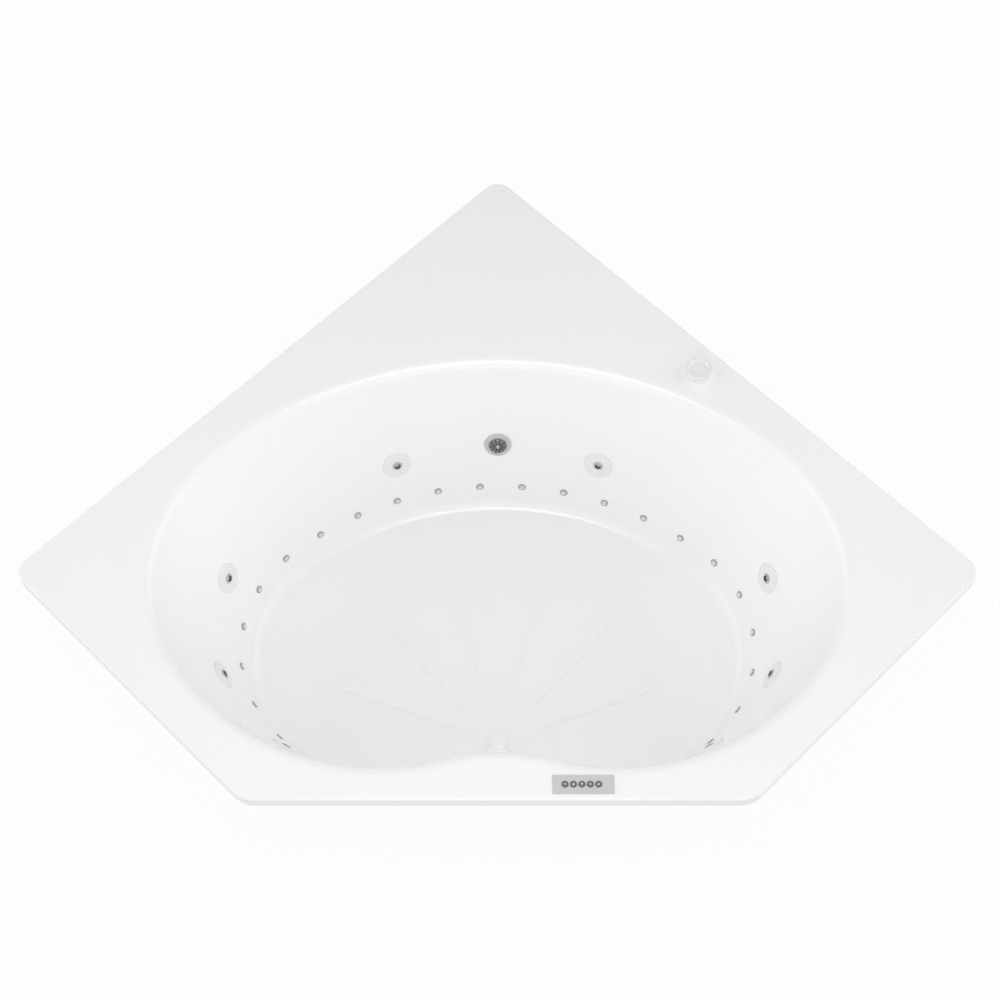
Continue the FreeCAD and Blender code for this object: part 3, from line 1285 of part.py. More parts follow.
def make_control_box():
    width, length, height = size["box_width"], size["box_length"], size["box_height"]
    wall, lid, inset = size["box_wall"], size["box_lid_thick"], size["box_screw_inset"]
    post, shank = size["box_post_radius"], size["box_shank_radius"]
    place = Vector(value["box_side"], corner_y - value["box_setback"], base_top)
    frame = FreeCAD.Placement(place, FreeCAD.Rotation())
    corners = [(x, y) for x in (inset, width - inset) for y in (inset, length - inset)]
    case = block("box_case", width, length, height)
    cavity = block("box_cavity", width - wall * 2.0, length - wall * 2.0, height)
    lift(cavity, x=wall, y=wall, z=wall)
    posts, screw_holes, lid_holes = [], [], []
    for number, (x, y) in enumerate(corners, 1):
        posts.append(lift(rod("box_post_%d" % number, post, height), x=x, y=y))
        hole = rod("box_screw_hole_%d" % number, shank + size["thread_fit"], size["box_shank_length"])
        screw_holes.append(lift(hole, x=x, y=y, z=height + lid - size["box_shank_length"]))
        lid_holes.append(lift(rod("lid_hole_%d" % number, shank + size["fit"], lid), x=x, y=y))
    thread, reach, pitch = size["gland_thread_radius"], size["gland_reach"], size["gland_pitch"]
    outward = Vector(0, 1, 0)
    turn = FreeCAD.Rotation(Vector(0, 0, 1), outward)
    gland_holes = []
    gland_places = []
    for number in range(count["gland_count"]):
        rise = size["gland_rise"] + pitch * number
        hole = face_along(rod("gland_hole_%d" % (number + 1), thread + size["fit"], wall), outward)
        gland_holes.append(lift(hole, x=width * 0.5, y=length - wall, z=rise))
        spot = Vector(width.number / 2, length.number - wall.number * 2, rise.number)
        gland_places.append(frame.multiply(FreeCAD.Placement(spot, turn)))
    hollow = cut("box_hollow", case, cavity)
    box = cut("control_box", join("box_and_posts", hollow, *posts), *(screw_holes + gland_holes))
    node("control_box", box, frame)

    cover = cut("control_box_lid", block("box_lid_plate", width, length, lid), *lid_holes)
    node("control_box_lid", cover, straight_on(frame, z=height.number))

    head, rise, long_shank = size["box_screw_radius"], size["box_screw_rise"], size["box_shank_length"]
    screw = turned("box_screw", [
        (None, None), (shank, None), (shank, long_shank), (head, long_shank),
        (head * 0.8, long_shank + rise), (None, long_shank + rise),
    ])
    foot = (height + lid - long_shank).number
    screw_places = [straight_on(frame, x.number, y.number, foot) for x, y in corners]
    group("cover_screws", (screw, screw_places), suction_screw)

    bore, gland = size["gland_bore"], size["gland_radius"]
    inner = wall * 2.0
    tower = turned("cable_gland", [
        (bore, None), (thread, None), (thread, inner), (gland, inner), (gland, inner + reach * 0.6),
        (gland * 0.75, inner + reach), (bore, inner + reach),
    ])
    group("cable_glands", (tower, gland_places))


make_control_box()


# Air control on the deck: collar, nut and knob.

def make_air_control():
    frame = FreeCAD.Placement(knob_place, FreeCAD.Rotation())
    neck, neck_length = size["collar_neck_radius"], size["collar_neck_length"]
    tail, tail_length, bore = size["collar_tail_radius"], size["collar_tail_length"], size["collar_bore"]
    flange, thick, stub = size["collar_radius"], size["collar_thick"], size["knob_stub_radius"]
    fit, below = size["fit"], tail_length + neck_length
    stub_floor = below + thick - size["knob_stub_length"] - fit
    collar = turned("air_control_collar", [
        (bore, None), (tail, None), (tail, tail_length), (neck, tail_length), (neck, below), (flange, below),
        (flange, below + thick), (stub + fit, below + thick), (stub + fit, stub_floor), (bore, stub_floor),
    ], [(flange, below + thick, thick * 0.4)])
    node("air_control_collar", collar, straight_on(frame, z=-below.number))

    nut_thick = size["collar_nut_thick"]
    nut = cut("air_control_nut", hexagon("collar_hexagon", size["collar_nut_radius"], nut_thick),
              rod("collar_thread", neck + size["thread_fit"], nut_thick))
    nut_places = [straight_on(frame, z=-(size["shell_wall"] + nut_thick).number)]
    group("lock_nuts", (nut, nut_places), suction_nut, injector_nuts)

    radius, height, dish = size["knob_radius"], size["knob_height"], size["knob_dish"]
    stub_length = size["knob_stub_length"]
    top = stub_length + height
    bowl = size["knob_dish_radius"]
    knob = turned("air_control_knob", [
        (None, None), (stub, None), (stub, stub_length), (radius, stub_length), (radius, top),
        (bowl + dish, top), (bowl, top - dish), (None, top - dish),
    ], [(radius, top, dish * 0.6)])
    node("air_control_knob", knob, straight_on(frame, z=(thick + fit - stub_length).number))


make_air_control()


# Control panel: bezel, buttons, circuit board and housing.

def rounded_slab(name, length, width, height, corner, edge):
    """Block with rounded upright edges and a rounded top edge, its corner at the origin."""
    body = padded(name, [(None, None), (length, None), (length, width), (None, width)], height)
    pad = body.Tip
    upright = ["Edge%d" % number for number, line in enumerate(pad.Shape.Edges, 1)
               if abs(line.tangentAt(line.FirstParameter).z) > 0.9]
    sides = body.newObject("PartDesign::Fillet", name + "_corners")
    sides.Base = (pad, upright)
    bind(sides, Radius=corner)
    doc.recompute()
    upper = ["Edge%d" % number for number, line in enumerate(sides.Shape.Edges, 1)
             if abs(line.CenterOfMass.z - height.number) < 1e-4]
    rim = body.newObject("PartDesign::Fillet", name + "_rim")
    rim.Base = (sides, upper)
    bind(rim, Radius=edge)
    body.Tip = rim
    doc.recompute()
    return body


def make_panel():
    fit, width, length, thick = size["fit"], size["panel_width"], size["panel_length"], size["panel_thick"]
    cap, flange, stem = size["button_radius"], size["button_flange_radius"], size["button_stem_radius"]
    flange_thick, stem_length = size["button_flange_thick"], size["button_stem_length"]
    pitch, shift = size["button_pitch"], size["button_shift"]
    middle = (count["button_count"] - 1) / 2
    across = [pitch * (index - middle) - shift for index in range(count["button_count"])]
    frame = FreeCAD.Placement(panel_place, FreeCAD.Rotation())

    plate = rounded_slab("panel_plate", width, length, thick, size["panel_corner"], size["panel_edge"])
    holes = []
    for index, x in enumerate(across, 1):
        hole = rod("button_hole_%d" % index, cap + fit, thick)
        holes.append(lift(hole, x=width * 0.5 + x, y=length * 0.5))
    node("keypad_bezel", cut("keypad_bezel", plate, *holes),
         straight_on(frame, -width.number / 2, -length.number / 2))

    sunk = stem_length + flange_thick + fit
    top = sunk + thick + size["button_rise"]
    button = turned("button", [
        (None, None), (stem, None), (stem, stem_length), (flange, stem_length),
        (flange, stem_length + flange_thick), (cap, stem_length + flange_thick), (cap, top), (None, top),
    ], [(cap, top, size["button_rise"] * 0.5)])
    for index, x in enumerate(across, 1):
        label = "button_%d" % index
        node(label, solid(label, button.Shape), straight_on(frame, x.number, z=-sunk.number))

    wall, cavity, height = size["keypad_wall"], size["keypad_cavity"], size["keypad_height"]
    outer, deep = size["keypad_width"], size["keypad_length"]
    tray = block("keypad_tray", outer, deep, height)
    hollow = block("keypad_hollow", outer - wall * 2.0, deep - wall * 2.0, cavity)
    lift(hollow, x=wall, y=wall, z=height - cavity)
    corner = straight_on(frame, -outer.number / 2, -deep.number / 2)
    node("keypad_housing", cut("keypad_housing", tray, hollow), straight_on(corner, z=-height.number))

    gap = wall + fit
    sheet_thick = size["board_thick"]
    card = block("keypad_card", outer - gap * 2.0, deep - gap * 2.0, sheet_thick)
    switch_rise = cavity - sunk - size["button_travel"] - size["switch_gap"]
    switches = []
    for index, x in enumerate(across, 1):
        switch = rod("switch_%d" % index, size["switch_radius"], switch_rise)
        switches.append(lift(switch, x=outer * 0.5 - gap + x, y=deep * 0.5 - gap))
    node("keypad_board", join("keypad_board", card, *switches),
         straight_on(corner, gap.number, gap.number, -cavity.number))


make_panel()


# Waste: overflow, drain, shoe and tee.

def make_overflow():
    spigot, wall = size["overflow_spigot_radius"], size["overflow_spigot_wall"]
    length = size["overflow_spigot_length"]
    radius, rise, skin = size["overflow_cap_radius"], size["overflow_cap_rise"], size["overflow_cap_wall"]
    top = length + rise
    shell = turned("overflow_shell", [
        (spigot - wall, None), (spigot, None), (spigot, length), (radius, length), (radius, top), (None, top),
        (None, top - skin), (spigot - wall, top - skin),
    ], [(radius, top, size["overflow_cap_round"])])
    slot = block("overflow_slot", spigot, radius, rise * 0.4)
    lift(slot, x=spigot * -0.5, y=radius * -1.0, z=length + skin)
    node("overflow_cap", cut("overflow_cap", shell, slot), straight_on(overflow_frame, z=-length.number))

    barrel, long, pad = size["overflow_elbow_radius"], size["overflow_elbow_length"], size["overflow_pad"]
    flange, flange_thick = size["overflow_flange_radius"], size["overflow_flange_thick"]
    socket = spigot + size["thread_fit"]
    cup = turned("overflow_cup", [
        (None, None), (barrel, None), (barrel, long - flange_thick), (flange, long - flange_thick),
        (flange, long), (socket, long), (socket, wall), (None, wall),
    ])
    tail, reach = size["overflow_tail_radius"], size["overflow_tail_length"]
    height = wall + tail
    outside = join("overflow_outside", cup,
                   port("overflow_tail", tail, barrel - wall * 0.5, reach, height, DOWN_WALL))
    bore = port("overflow_tail_bore", tail - size["port_wall"], fixed(0.0), reach, height, DOWN_WALL)
    node("overflow_elbow", cut("overflow_elbow", outside, bore),
         straight_on(overflow_frame, z=-(pad + long).number))
    return straight_on(overflow_frame, z=-(pad + long - height).number)


tail_frame = make_overflow()
drop_inside = value["overflow_tail_radius"] + value["thread_fit"]
drop_outside = drop_inside + value["air_pipe_wall"]
drop_start = tail_frame.multVec(DOWN_WALL * (value["overflow_tail_length"] - value["pipe_socket"] / 2))
drop_heading = tail_frame.Rotation.multVec(DOWN_WALL)
drop_level = base_top - value["tee_drop"] - value["overflow_pipe_grip"]
drop_end = drop_start + drop_heading * ((drop_level - drop_start.z) / drop_heading.z)
tube("overflow_pipe", [Part.makeLine(drop_start, drop_end)], drop_outside, drop_inside)


def make_drain():
    fit, floor = size["fit"], Vector(0, drain_y, basin_floor)
    frame = FreeCAD.Placement(floor, FreeCAD.Rotation())
    neck, length, bore = size["drain_neck_radius"], size["drain_neck_length"], size["drain_bore"]
    flange, thick = size["drain_flange_radius"], size["drain_flange_thick"]
    rim = length + thick
    ring = turned("drain_ring", [
        (bore, None), (neck, None), (neck, length), (flange, length), (flange, length + thick * 0.4),
        (flange - thick, rim), (bore, rim),
    ])
    bar_width, bar_thick = size["spider_width"], size["spider_thick"]
    bar = block("drain_spider", bore * 2.0 + fit, bar_width, bar_thick)
    lift(bar, x=(bore + fit * 0.5) * -1.0, y=bar_width * -0.5, z=bar_thick)
    stem, stem_length = size["stopper_stem_radius"], size["stopper_stem_length"]
    guide = lift(rod("drain_guide", stem + fit, bar_thick), z=bar_thick)
    node("drain_flange", cut("drain_flange", join("drain_ring_and_spider", ring, bar), guide),
         straight_on(frame, z=-length.number))

    radius, plate = size["stopper_radius"], size["stopper_thick"]
    stopper = turned("drain_stopper", [
        (None, None), (stem, None), (stem, stem_length), (radius, stem_length),
        (radius, stem_length + plate * 0.5), (radius * 0.6, stem_length + plate), (None, stem_length + plate),
    ])
    node("drain_stopper", stopper, straight_on(frame, z=(thick + fit - stem_length).number))

    shoe, shoe_flange, shoe_thick = size["shoe_radius"], size["shoe_flange_radius"], size["shoe_flange_thick"]
    height, shoe_floor, grip = size["shoe_height"], size["shoe_floor"], neck + size["thread_fit"]
    cup = turned("shoe_cup", [
        (None, None), (shoe, None), (shoe, height - shoe_thick), (shoe_flange, height - shoe_thick),
        (shoe_flange, height), (grip, height), (grip, shoe_floor), (None, shoe_floor),
    ])
    foot = fixed(base_top) - height
    outlet, tee, tee_wall = size["shoe_port_radius"], size["tee_radius"], size["tee_wall"]
    tee_height = size["tee_height"]
    tee_bottom = height - size["tee_drop"] - tee_height
    away, rise = fixed(drain_y - drop_end.y), shoe_floor + outlet
    upright = lift(rod("tee_upright", tee, tee_height), y=away * -1.0, z=tee_bottom)
    chamber = rod("tee_chamber", tee - tee_wall, tee_height - tee_wall * 2.0)
    lift(chamber, y=away * -1.0, z=tee_bottom + tee_wall)
    spigot, spigot_length = size["spigot_radius"], tee_bottom + foot - size["spigot_end"]
    waste = lift(rod("waste_spigot", spigot, spigot_length), y=away * -1.0, z=tee_bottom - spigot_length)
    outflow = rod("waste_outflow", spigot - tee_wall, spigot_length + tee_wall)
    lift(outflow, y=away * -1.0, z=tee_bottom - spigot_length)
    socket = face_along(rod("tee_socket", fixed(drop_outside) + fit, tee_height), drop_heading.negative())
    lift(socket, y=away * -1.0, z=fixed(drop_end.z) - foot)
    outside = join("shoe_outside", cup, upright, waste,
                   port("shoe_port", outlet, shoe - shoe_floor, away, rise, DOWN_WALL))
    waterway = port("shoe_waterway", outlet - size["port_wall"], fixed(0.0), away, rise, DOWN_WALL)
    node("waste_shoe", cut("waste_shoe", outside, waterway, chamber, outflow, socket),
         FreeCAD.Placement(Vector(0, drain_y, foot.number), FreeCAD.Rotation()))


make_drain()


# Base board and its runners.

def make_base():
    half, thick, front = size["base_half_width"], size["base_thick"], size["base_front"]
    shoulder_half, back_half = size["base_shoulder_half"], size["base_back_half"]
    waist, shoulder = front - size["base_waist"], front - size["base_shoulder"]
    back = front - size["base_back"]
    board = padded("base_board", [
        (None, None), (half * 2.0, None), (half * 2.0, waist), (half + shoulder_half, shoulder),
        (half + back_half, back), (half - back_half, back), (half - shoulder_half, shoulder), (None, waist),
    ], thick)
    front_y = corner_y - front.number
    foot = fixed(base_top) - thick
    spot = Vector(-half.number, front_y, foot.number)
    node("base_board", board, FreeCAD.Placement(spot, FreeCAD.Rotation()))
    width = size["runner_width"]
    middle = block("middle_runner", width, back, foot)
    side = block("side_runner", width, shoulder, foot)
    places = []
    for x in (0.0, -value["runner_pitch"], value["runner_pitch"]):
        places.append(FreeCAD.Placement(Vector(x - width.number / 2, front_y, 0), FreeCAD.Rotation()))
    group("support_runners", (middle, places[:1]), (side, places[1:]))


make_base()


# Every object is checked, then each sub-part is written to its own file.

doc.recompute()
for piece in doc.Objects:
    if "Invalid" in piece.State or "Error" in piece.State:
        raise RuntimeError("%s failed: %s" % (piece.Label, piece.State))
for piece in nodes:
    if piece.Shape.isNull() or not piece.Shape.isValid():
        raise RuntimeError("%s has no valid shape" % piece.Label)
os.makedirs("parts", exist_ok=True)
for piece in nodes:
    piece.Shape.exportStep("parts/%s.step" % piece.Label)
print("%d sub-parts written" % len(nodes))
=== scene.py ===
import json
import math

import bmesh
import bpy
import numpy as np
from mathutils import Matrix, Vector

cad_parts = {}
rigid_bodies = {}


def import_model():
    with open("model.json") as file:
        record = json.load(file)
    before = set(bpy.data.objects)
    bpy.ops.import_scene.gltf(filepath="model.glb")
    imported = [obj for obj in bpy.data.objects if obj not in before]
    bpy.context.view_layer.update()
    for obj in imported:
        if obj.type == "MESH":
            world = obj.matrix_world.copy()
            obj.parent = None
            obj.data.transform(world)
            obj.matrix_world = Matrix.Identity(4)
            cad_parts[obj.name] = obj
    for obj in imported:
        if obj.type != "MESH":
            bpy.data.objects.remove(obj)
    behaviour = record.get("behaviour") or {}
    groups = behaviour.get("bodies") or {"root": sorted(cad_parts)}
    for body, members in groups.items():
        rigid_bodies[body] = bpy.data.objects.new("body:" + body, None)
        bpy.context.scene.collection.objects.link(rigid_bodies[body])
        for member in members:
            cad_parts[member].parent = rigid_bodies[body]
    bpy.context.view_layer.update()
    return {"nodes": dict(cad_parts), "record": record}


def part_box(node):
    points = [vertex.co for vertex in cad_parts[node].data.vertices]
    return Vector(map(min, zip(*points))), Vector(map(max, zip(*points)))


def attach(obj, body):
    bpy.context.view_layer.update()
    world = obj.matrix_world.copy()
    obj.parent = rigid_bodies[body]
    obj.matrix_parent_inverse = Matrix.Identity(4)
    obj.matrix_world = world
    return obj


for item in list(bpy.data.objects):
    bpy.data.objects.remove(item)
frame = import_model()
nodes = frame["nodes"]
scene = bpy.context.scene

MM_PER_METRE = 1000


def add_object(name, data):
    obj = bpy.data.objects.new(name, data)
    scene.collection.objects.link(obj)
    return obj


# Shader helpers: everything is procedural and fixed to the object.

NOISE_LOW, NOISE_HIGH = 0.3, 0.7  # nearly all values of the noise lie between these


def start_material(name, colour, roughness, metallic=0.0):
    mat = bpy.data.materials.new(name)
    mat.use_nodes = True
    shader = mat.node_tree.nodes["Principled BSDF"]
    shader.inputs["Base Color"].default_value = (*colour, 1.0)
    shader.inputs["Roughness"].default_value = roughness
    shader.inputs["Metallic"].default_value = metallic
    return mat, mat.node_tree, shader


def noise_at(tree, scale, detail=3.0, stretch=(1.0, 1.0, 1.0)):
    """Noise in object space, in cycles per metre."""
    place = tree.nodes.new("ShaderNodeTexCoord")
    mapping = tree.nodes.new("ShaderNodeMapping")
    mapping.inputs["Scale"].default_value = stretch
    noise = tree.nodes.new("ShaderNodeTexNoise")
    noise.inputs["Scale"].default_value = scale
    noise.inputs["Detail"].default_value = detail
    tree.links.new(place.outputs["Object"], mapping.inputs["Vector"])
    tree.links.new(mapping.outputs["Vector"], noise.inputs["Vector"])
    return noise.outputs["Fac"]


def vary_colour(tree, shader, fac, dark, light, low=NOISE_LOW, high=NOISE_HIGH):
    ramp = tree.nodes.new("ShaderNodeValToRGB")
    stops = ramp.color_ramp.elements
    for stop, position, colour in zip(stops, (low, high), (dark, light)):
        stop.position = position
        stop.color = (*colour, 1.0)
    tree.links.new(fac, ramp.inputs["Fac"])
    tree.links.new(ramp.outputs["Color"], shader.inputs["Base Color"])


def vary_roughness(tree, shader, fac, glossy, rough):
    spread = tree.nodes.new("ShaderNodeMapRange")
    spread.inputs["From Min"].default_value = NOISE_LOW
    spread.inputs["From Max"].default_value = NOISE_HIGH
    spread.inputs["To Min"].default_value = glossy
    spread.inputs["To Max"].default_value = rough
    tree.links.new(fac, spread.inputs["Value"])
    tree.links.new(spread.outputs["Result"], shader.inputs["Roughness"])


def add_bump(tree, shader, fac, depth):
    """Relief of a given depth, in metres."""
    bump = tree.nodes.new("ShaderNodeBump")
    bump.inputs["Distance"].default_value = depth
    tree.links.new(fac, bump.inputs["Height"])
    tree.links.new(bump.outputs["Normal"], shader.inputs["Normal"])


def shade(colour, share):
    return tuple(min(1.0, part * share) for part in colour)


def moulded(name, colour, glossy, rough, grain=1800.0, depth=0.00002, spread=0.03):
    """Moulded plastic: a slow drift of tone, uneven gloss and a fine grain."""
    mat, tree, shader = start_material(name, colour, rough)
    dark, light = shade(colour, 1 - spread), shade(colour, 1 + spread)
    vary_colour(tree, shader, noise_at(tree, 9.0), dark, light)
    vary_roughness(tree, shader, noise_at(tree, 35.0, 4.0), glossy, rough)
    add_bump(tree, shader, noise_at(tree, grain, 2.0), depth)
    return mat


def drawn_steel():
    """Bright steel with fine drawn lines."""
    colour = (0.58, 0.58, 0.57)
    mat, tree, shader = start_material("steel", colour, 0.36, 1.0)
    lines = noise_at(tree, 400.0, 3.0, (1.0, 1.0, 0.1))
    vary_colour(tree, shader, lines, shade(colour, 0.85), shade(colour, 1.1))
    vary_roughness(tree, shader, lines, 0.2, 0.36)
    add_bump(tree, shader, lines, 0.00001)
    return mat


def acrylic():
    """Cast acrylic sheet: white, softly glossy, with the faint waviness of a formed sheet."""
    mat, tree, shader = start_material("acrylic", (0.935, 0.935, 0.933), 0.26)
    shader.inputs["IOR"].default_value = 1.49
    vary_colour(tree, shader, noise_at(tree, 2.5), (0.93, 0.93, 0.928), (0.94, 0.94, 0.939))
    vary_roughness(tree, shader, noise_at(tree, 12.0), 0.2, 0.26)
    add_bump(tree, shader, noise_at(tree, 16.0, 1.0), 0.00004)
    return mat


def fibreglass():
    """Sprayed glass-fibre backing under the acrylic: rough, cream, with chopped strands."""
    mat, tree, shader = start_material("fibreglass", (0.62, 0.58, 0.47), 0.6)
    strands = noise_at(tree, 130.0, 6.0, (1.0, 1.0, 0.35))
    dark, light = (0.53, 0.49, 0.395), (0.69, 0.655, 0.555)
    vary_colour(tree, shader, strands, dark, light, 0.35, 0.65)
    vary_roughness(tree, shader, noise_at(tree, 45.0), 0.45, 0.75)
    add_bump(tree, shader, noise_at(tree, 140.0, 5.0, (1.0, 0.4, 1.0)), 0.0008)
    return mat


def painted():
    """Sprayed enamel with orange peel."""
    mat, tree, shader = start_material("painted_motor", (0.12, 0.14, 0.17), 0.38)
    dark, light = (0.105, 0.125, 0.155), (0.135, 0.155, 0.185)
    vary_colour(tree, shader, noise_at(tree, 20.0), dark, light)
    vary_roughness(tree, shader, noise_at(tree, 60.0), 0.3, 0.46)
    add_bump(tree, shader, noise_at(tree, 700.0, 1.0), 0.00006)
    return mat


def stacked():
    """Steel laminations across the shaft."""
    mat, tree, shader = start_material("laminations", (0.3, 0.29, 0.28), 0.45, 1.0)
    lines = noise_at(tree, 1.0, 2.0, (1.0, 900.0, 1.0))
    vary_colour(tree, shader, lines, (0.2, 0.19, 0.18), (0.4, 0.39, 0.38))
    vary_roughness(tree, shader, lines, 0.35, 0.6)
    add_bump(tree, shader, lines, 0.0001)
    return mat


def lacquered_board():
    """Green solder mask with rows of tracks."""
    mat, tree, shader = start_material("circuit_board", (0.04, 0.2, 0.09), 0.35)
    place = tree.nodes.new("ShaderNodeTexCoord")
    tracks = tree.nodes.new("ShaderNodeTexBrick")
    tracks.inputs["Scale"].default_value = 260.0
    tracks.inputs["Color1"].default_value = (0.03, 0.17, 0.075, 1.0)
    tracks.inputs["Color2"].default_value = (0.04, 0.22, 0.095, 1.0)
    tracks.inputs["Mortar"].default_value = (0.1, 0.33, 0.13, 1.0)
    tree.links.new(place.outputs["Object"], tracks.inputs["Vector"])
    tree.links.new(tracks.outputs["Color"], shader.inputs["Base Color"])
    add_bump(tree, shader, tracks.outputs["Fac"], 0.00005)
    return mat


def grained(name, dark, light, stretch, ring):
    """Sawn wood with grain along one axis."""
    mat, tree, shader = start_material(name, light, 0.65)
    slow = noise_at(tree, ring, 4.0, stretch)
    vary_colour(tree, shader, slow, dark, light, 0.35, 0.68)
    vary_roughness(tree, shader, noise_at(tree, 90.0, 3.0, stretch), 0.55, 0.8)
    add_bump(tree, shader, noise_at(tree, ring * 8, 5.0, stretch), 0.0003)
    return mat


# Moulded plastics: colour, least and most roughness, then grain per metre, its depth in metres
# and the spread of tone where they are not the usual ones.
MOULDED = {
    "white_trim": ((0.84, 0.84, 0.836), 0.26, 0.36, 900.0, 0.000004, 0.01),
    "grey_nozzle": ((0.36, 0.365, 0.375), 0.25, 0.4),
    "light_grey": ((0.56, 0.565, 0.57), 0.24, 0.36),
    "dark_grey": ((0.17, 0.173, 0.178), 0.26, 0.4),
    "panel_grey": ((0.56, 0.57, 0.58), 0.34, 0.46, 2600.0),
    "button_grey": ((0.12, 0.123, 0.127), 0.42, 0.55, 2600.0),
    "black_rubber": ((0.022, 0.022, 0.022), 0.62, 0.8, 1200.0, 0.00008, 0.15),
    "white_pipe": ((0.72, 0.725, 0.73), 0.28, 0.42, 600.0, 0.00002),
    "air_pipe": ((0.5, 0.56, 0.62), 0.2, 0.34, 500.0, 0.00002, 0.05),
    "black_plastic": ((0.03, 0.03, 0.033), 0.4, 0.56, 1500.0, 0.00006, 0.12),
    "grey_plastic": ((0.3, 0.31, 0.325), 0.42, 0.56, 1500.0, 0.00006),
    # These five are no slots of the record: they mark faces and the scene's own pieces.
    "icon_white": ((0.72, 0.73, 0.74), 0.4, 0.5, 2600.0),
    "drain_white": ((0.925, 0.925, 0.92), 0.26, 0.36, 900.0, 0.000004, 0.01),
    "nozzle_face": ((0.6, 0.605, 0.61), 0.25, 0.38),
    # painted shade: the faces inside a nozzle's mouth are painted near-black
    "nozzle_mouth": ((0.07, 0.071, 0.074), 0.3, 0.45),
    # painted shade: the sides of the white injector caps are painted grey
    "injector_edge_painted_shade": ((0.36, 0.365, 0.37), 0.3, 0.42),
}
PLYWOOD = ((0.42, 0.29, 0.16), (0.62, 0.46, 0.28), (3.0, 0.25, 3.0), 14.0)
TIMBER = ((0.46, 0.33, 0.19), (0.68, 0.53, 0.34), (4.0, 0.2, 4.0), 18.0)

materials = {name: moulded(name, *look) for name, look in MOULDED.items()}
materials["acrylic"] = acrylic()
materials["fibreglass"] = fibreglass()
materials["painted_motor"] = painted()
materials["steel"] = drawn_steel()
materials["laminations"] = stacked()
materials["circuit_board"] = lacquered_board()
materials["plywood"] = grained("plywood", *PLYWOOD)
materials["timber"] = grained("timber", *TIMBER)


# The record's slots on all nodes, and the shell's unseen side.

BASIN_MIDDLE_Y = -0.1
LIP_BOTTOM = 0.475
LOOKS_UP = 0.02
LOOKS_OUT = 0.3
SEAM_WIDTH = 0.00001
SHARP_ANGLE = math.radians(32.0)
FLAT_WEIGHT = 90


def is_backing(polygon):
    """True for the faces of the shell that are under the deck or outside the basin."""
    centre, normal = polygon.center, polygon.normal
    if normal.z > LOOKS_UP:
        return False
    outward = Vector((centre.x, centre.y - BASIN_MIDDLE_Y, 0.0)).normalized()
    on_lip = centre.z > LIP_BOTTOM and normal.dot(outward) > LOOKS_OUT
    return not on_lip


def smooth(obj):
    """Smooth shading, with the seams between CAD faces closed and real edges kept sharp."""
    if "custom_normal" in obj.data.attributes:
        obj.data.attributes.remove(obj.data.attributes["custom_normal"])
    obj.data.shade_smooth()
    weld = obj.modifiers.new("close_seams", "WELD")
    weld.merge_threshold = SEAM_WIDTH
    split = obj.modifiers.new("sharp_edges", "EDGE_SPLIT")
    split.split_angle = SHARP_ANGLE
    weighted = obj.modifiers.new("flat_faces", "WEIGHTED_NORMAL")
    weighted.mode = "FACE_AREA"
    weighted.weight = FLAT_WEIGHT
    weighted.keep_sharp = True


for entry in frame["record"]["subparts"]:
    obj = nodes[entry["node"]]
    obj.data.materials.clear()
    obj.data.materials.append(materials[entry["material_slot"]])
    smooth(obj)
for name in ("drain_flange", "drain_stopper"):
    nodes[name].data.materials[0] = materials["drain_white"]
shell = nodes["tub_shell"]
shell.data.materials.append(materials["fibreglass"])
for polygon in shell.data.polygons:
    polygon.material_index = 1 if is_backing(polygon) else 0


# Fittings in the basin wall: faces told apart by their place round each fitting's own axis.

NOZZLES = range(1, 9)
SAME_NORMAL = 0.9998  # cosine between the normals of one flat face
FRONT_FACE = 0.999  # cosine to the axis, for finding a fitting's front
LOOKS_FORWARD = 0.99  # cosine to the axis, for colouring it
CAP_BACK = -0.0029  # back of an injector's cap, from its front
CAP_SIDE = 0.0001  # a cap's edge looks away from the axis by more than this
# Radii and heights in millimetres of the ring in a nozzle's mouth, from the nozzle's front.
DIFFUSER = [(1.6, -7.0), (4.95, -7.0), (4.95, -4.9), (4.5, -4.4), (2.3, -3.9), (1.6, -4.4)]
DIFFUSER_SIDES = 40


def separate_solids(mesh):
    """The polygons of each separate solid in a mesh."""
    first = {}
    lead = list(range(len(mesh.polygons)))

    def leader(index):
        while lead[index] != index:
            lead[index] = lead[lead[index]]
            index = lead[index]
        return index

    for polygon in mesh.polygons:
        for corner in polygon.vertices:
            spot = tuple(round(part, 6) for part in mesh.vertices[corner].co)
            lead[leader(polygon.index)] = leader(first.setdefault(spot, polygon.index))
    groups = {}
    for polygon in mesh.polygons:
        groups.setdefault(leader(polygon.index), []).append(polygon)
    return list(groups.values())


def front_of(polygons):
    """Outward axis of a turned fitting, and the middle of its front.

    Its largest flat face looks into the wall.
    """
    normals = np.array([polygon.normal for polygon in polygons])
    areas = np.array([polygon.area for polygon in polygons])
    alike = (normals @ normals.T > SAME_NORMAL) @ areas
    axis = -Vector(normals[alike.argmax()])
    front = [polygon for polygon in polygons if polygon.normal.dot(axis) > FRONT_FACE]
    total = sum(polygon.area for polygon in front)
    middle = sum((polygon.center * polygon.area for polygon in front), Vector()) / total
    return axis, middle


def place_round(polygon, axis, middle):
    """Height of a face along the axis, and the way out to it from the axis."""
    reach = polygon.center - middle
    height = reach.dot(axis)
    return height, reach - axis * height


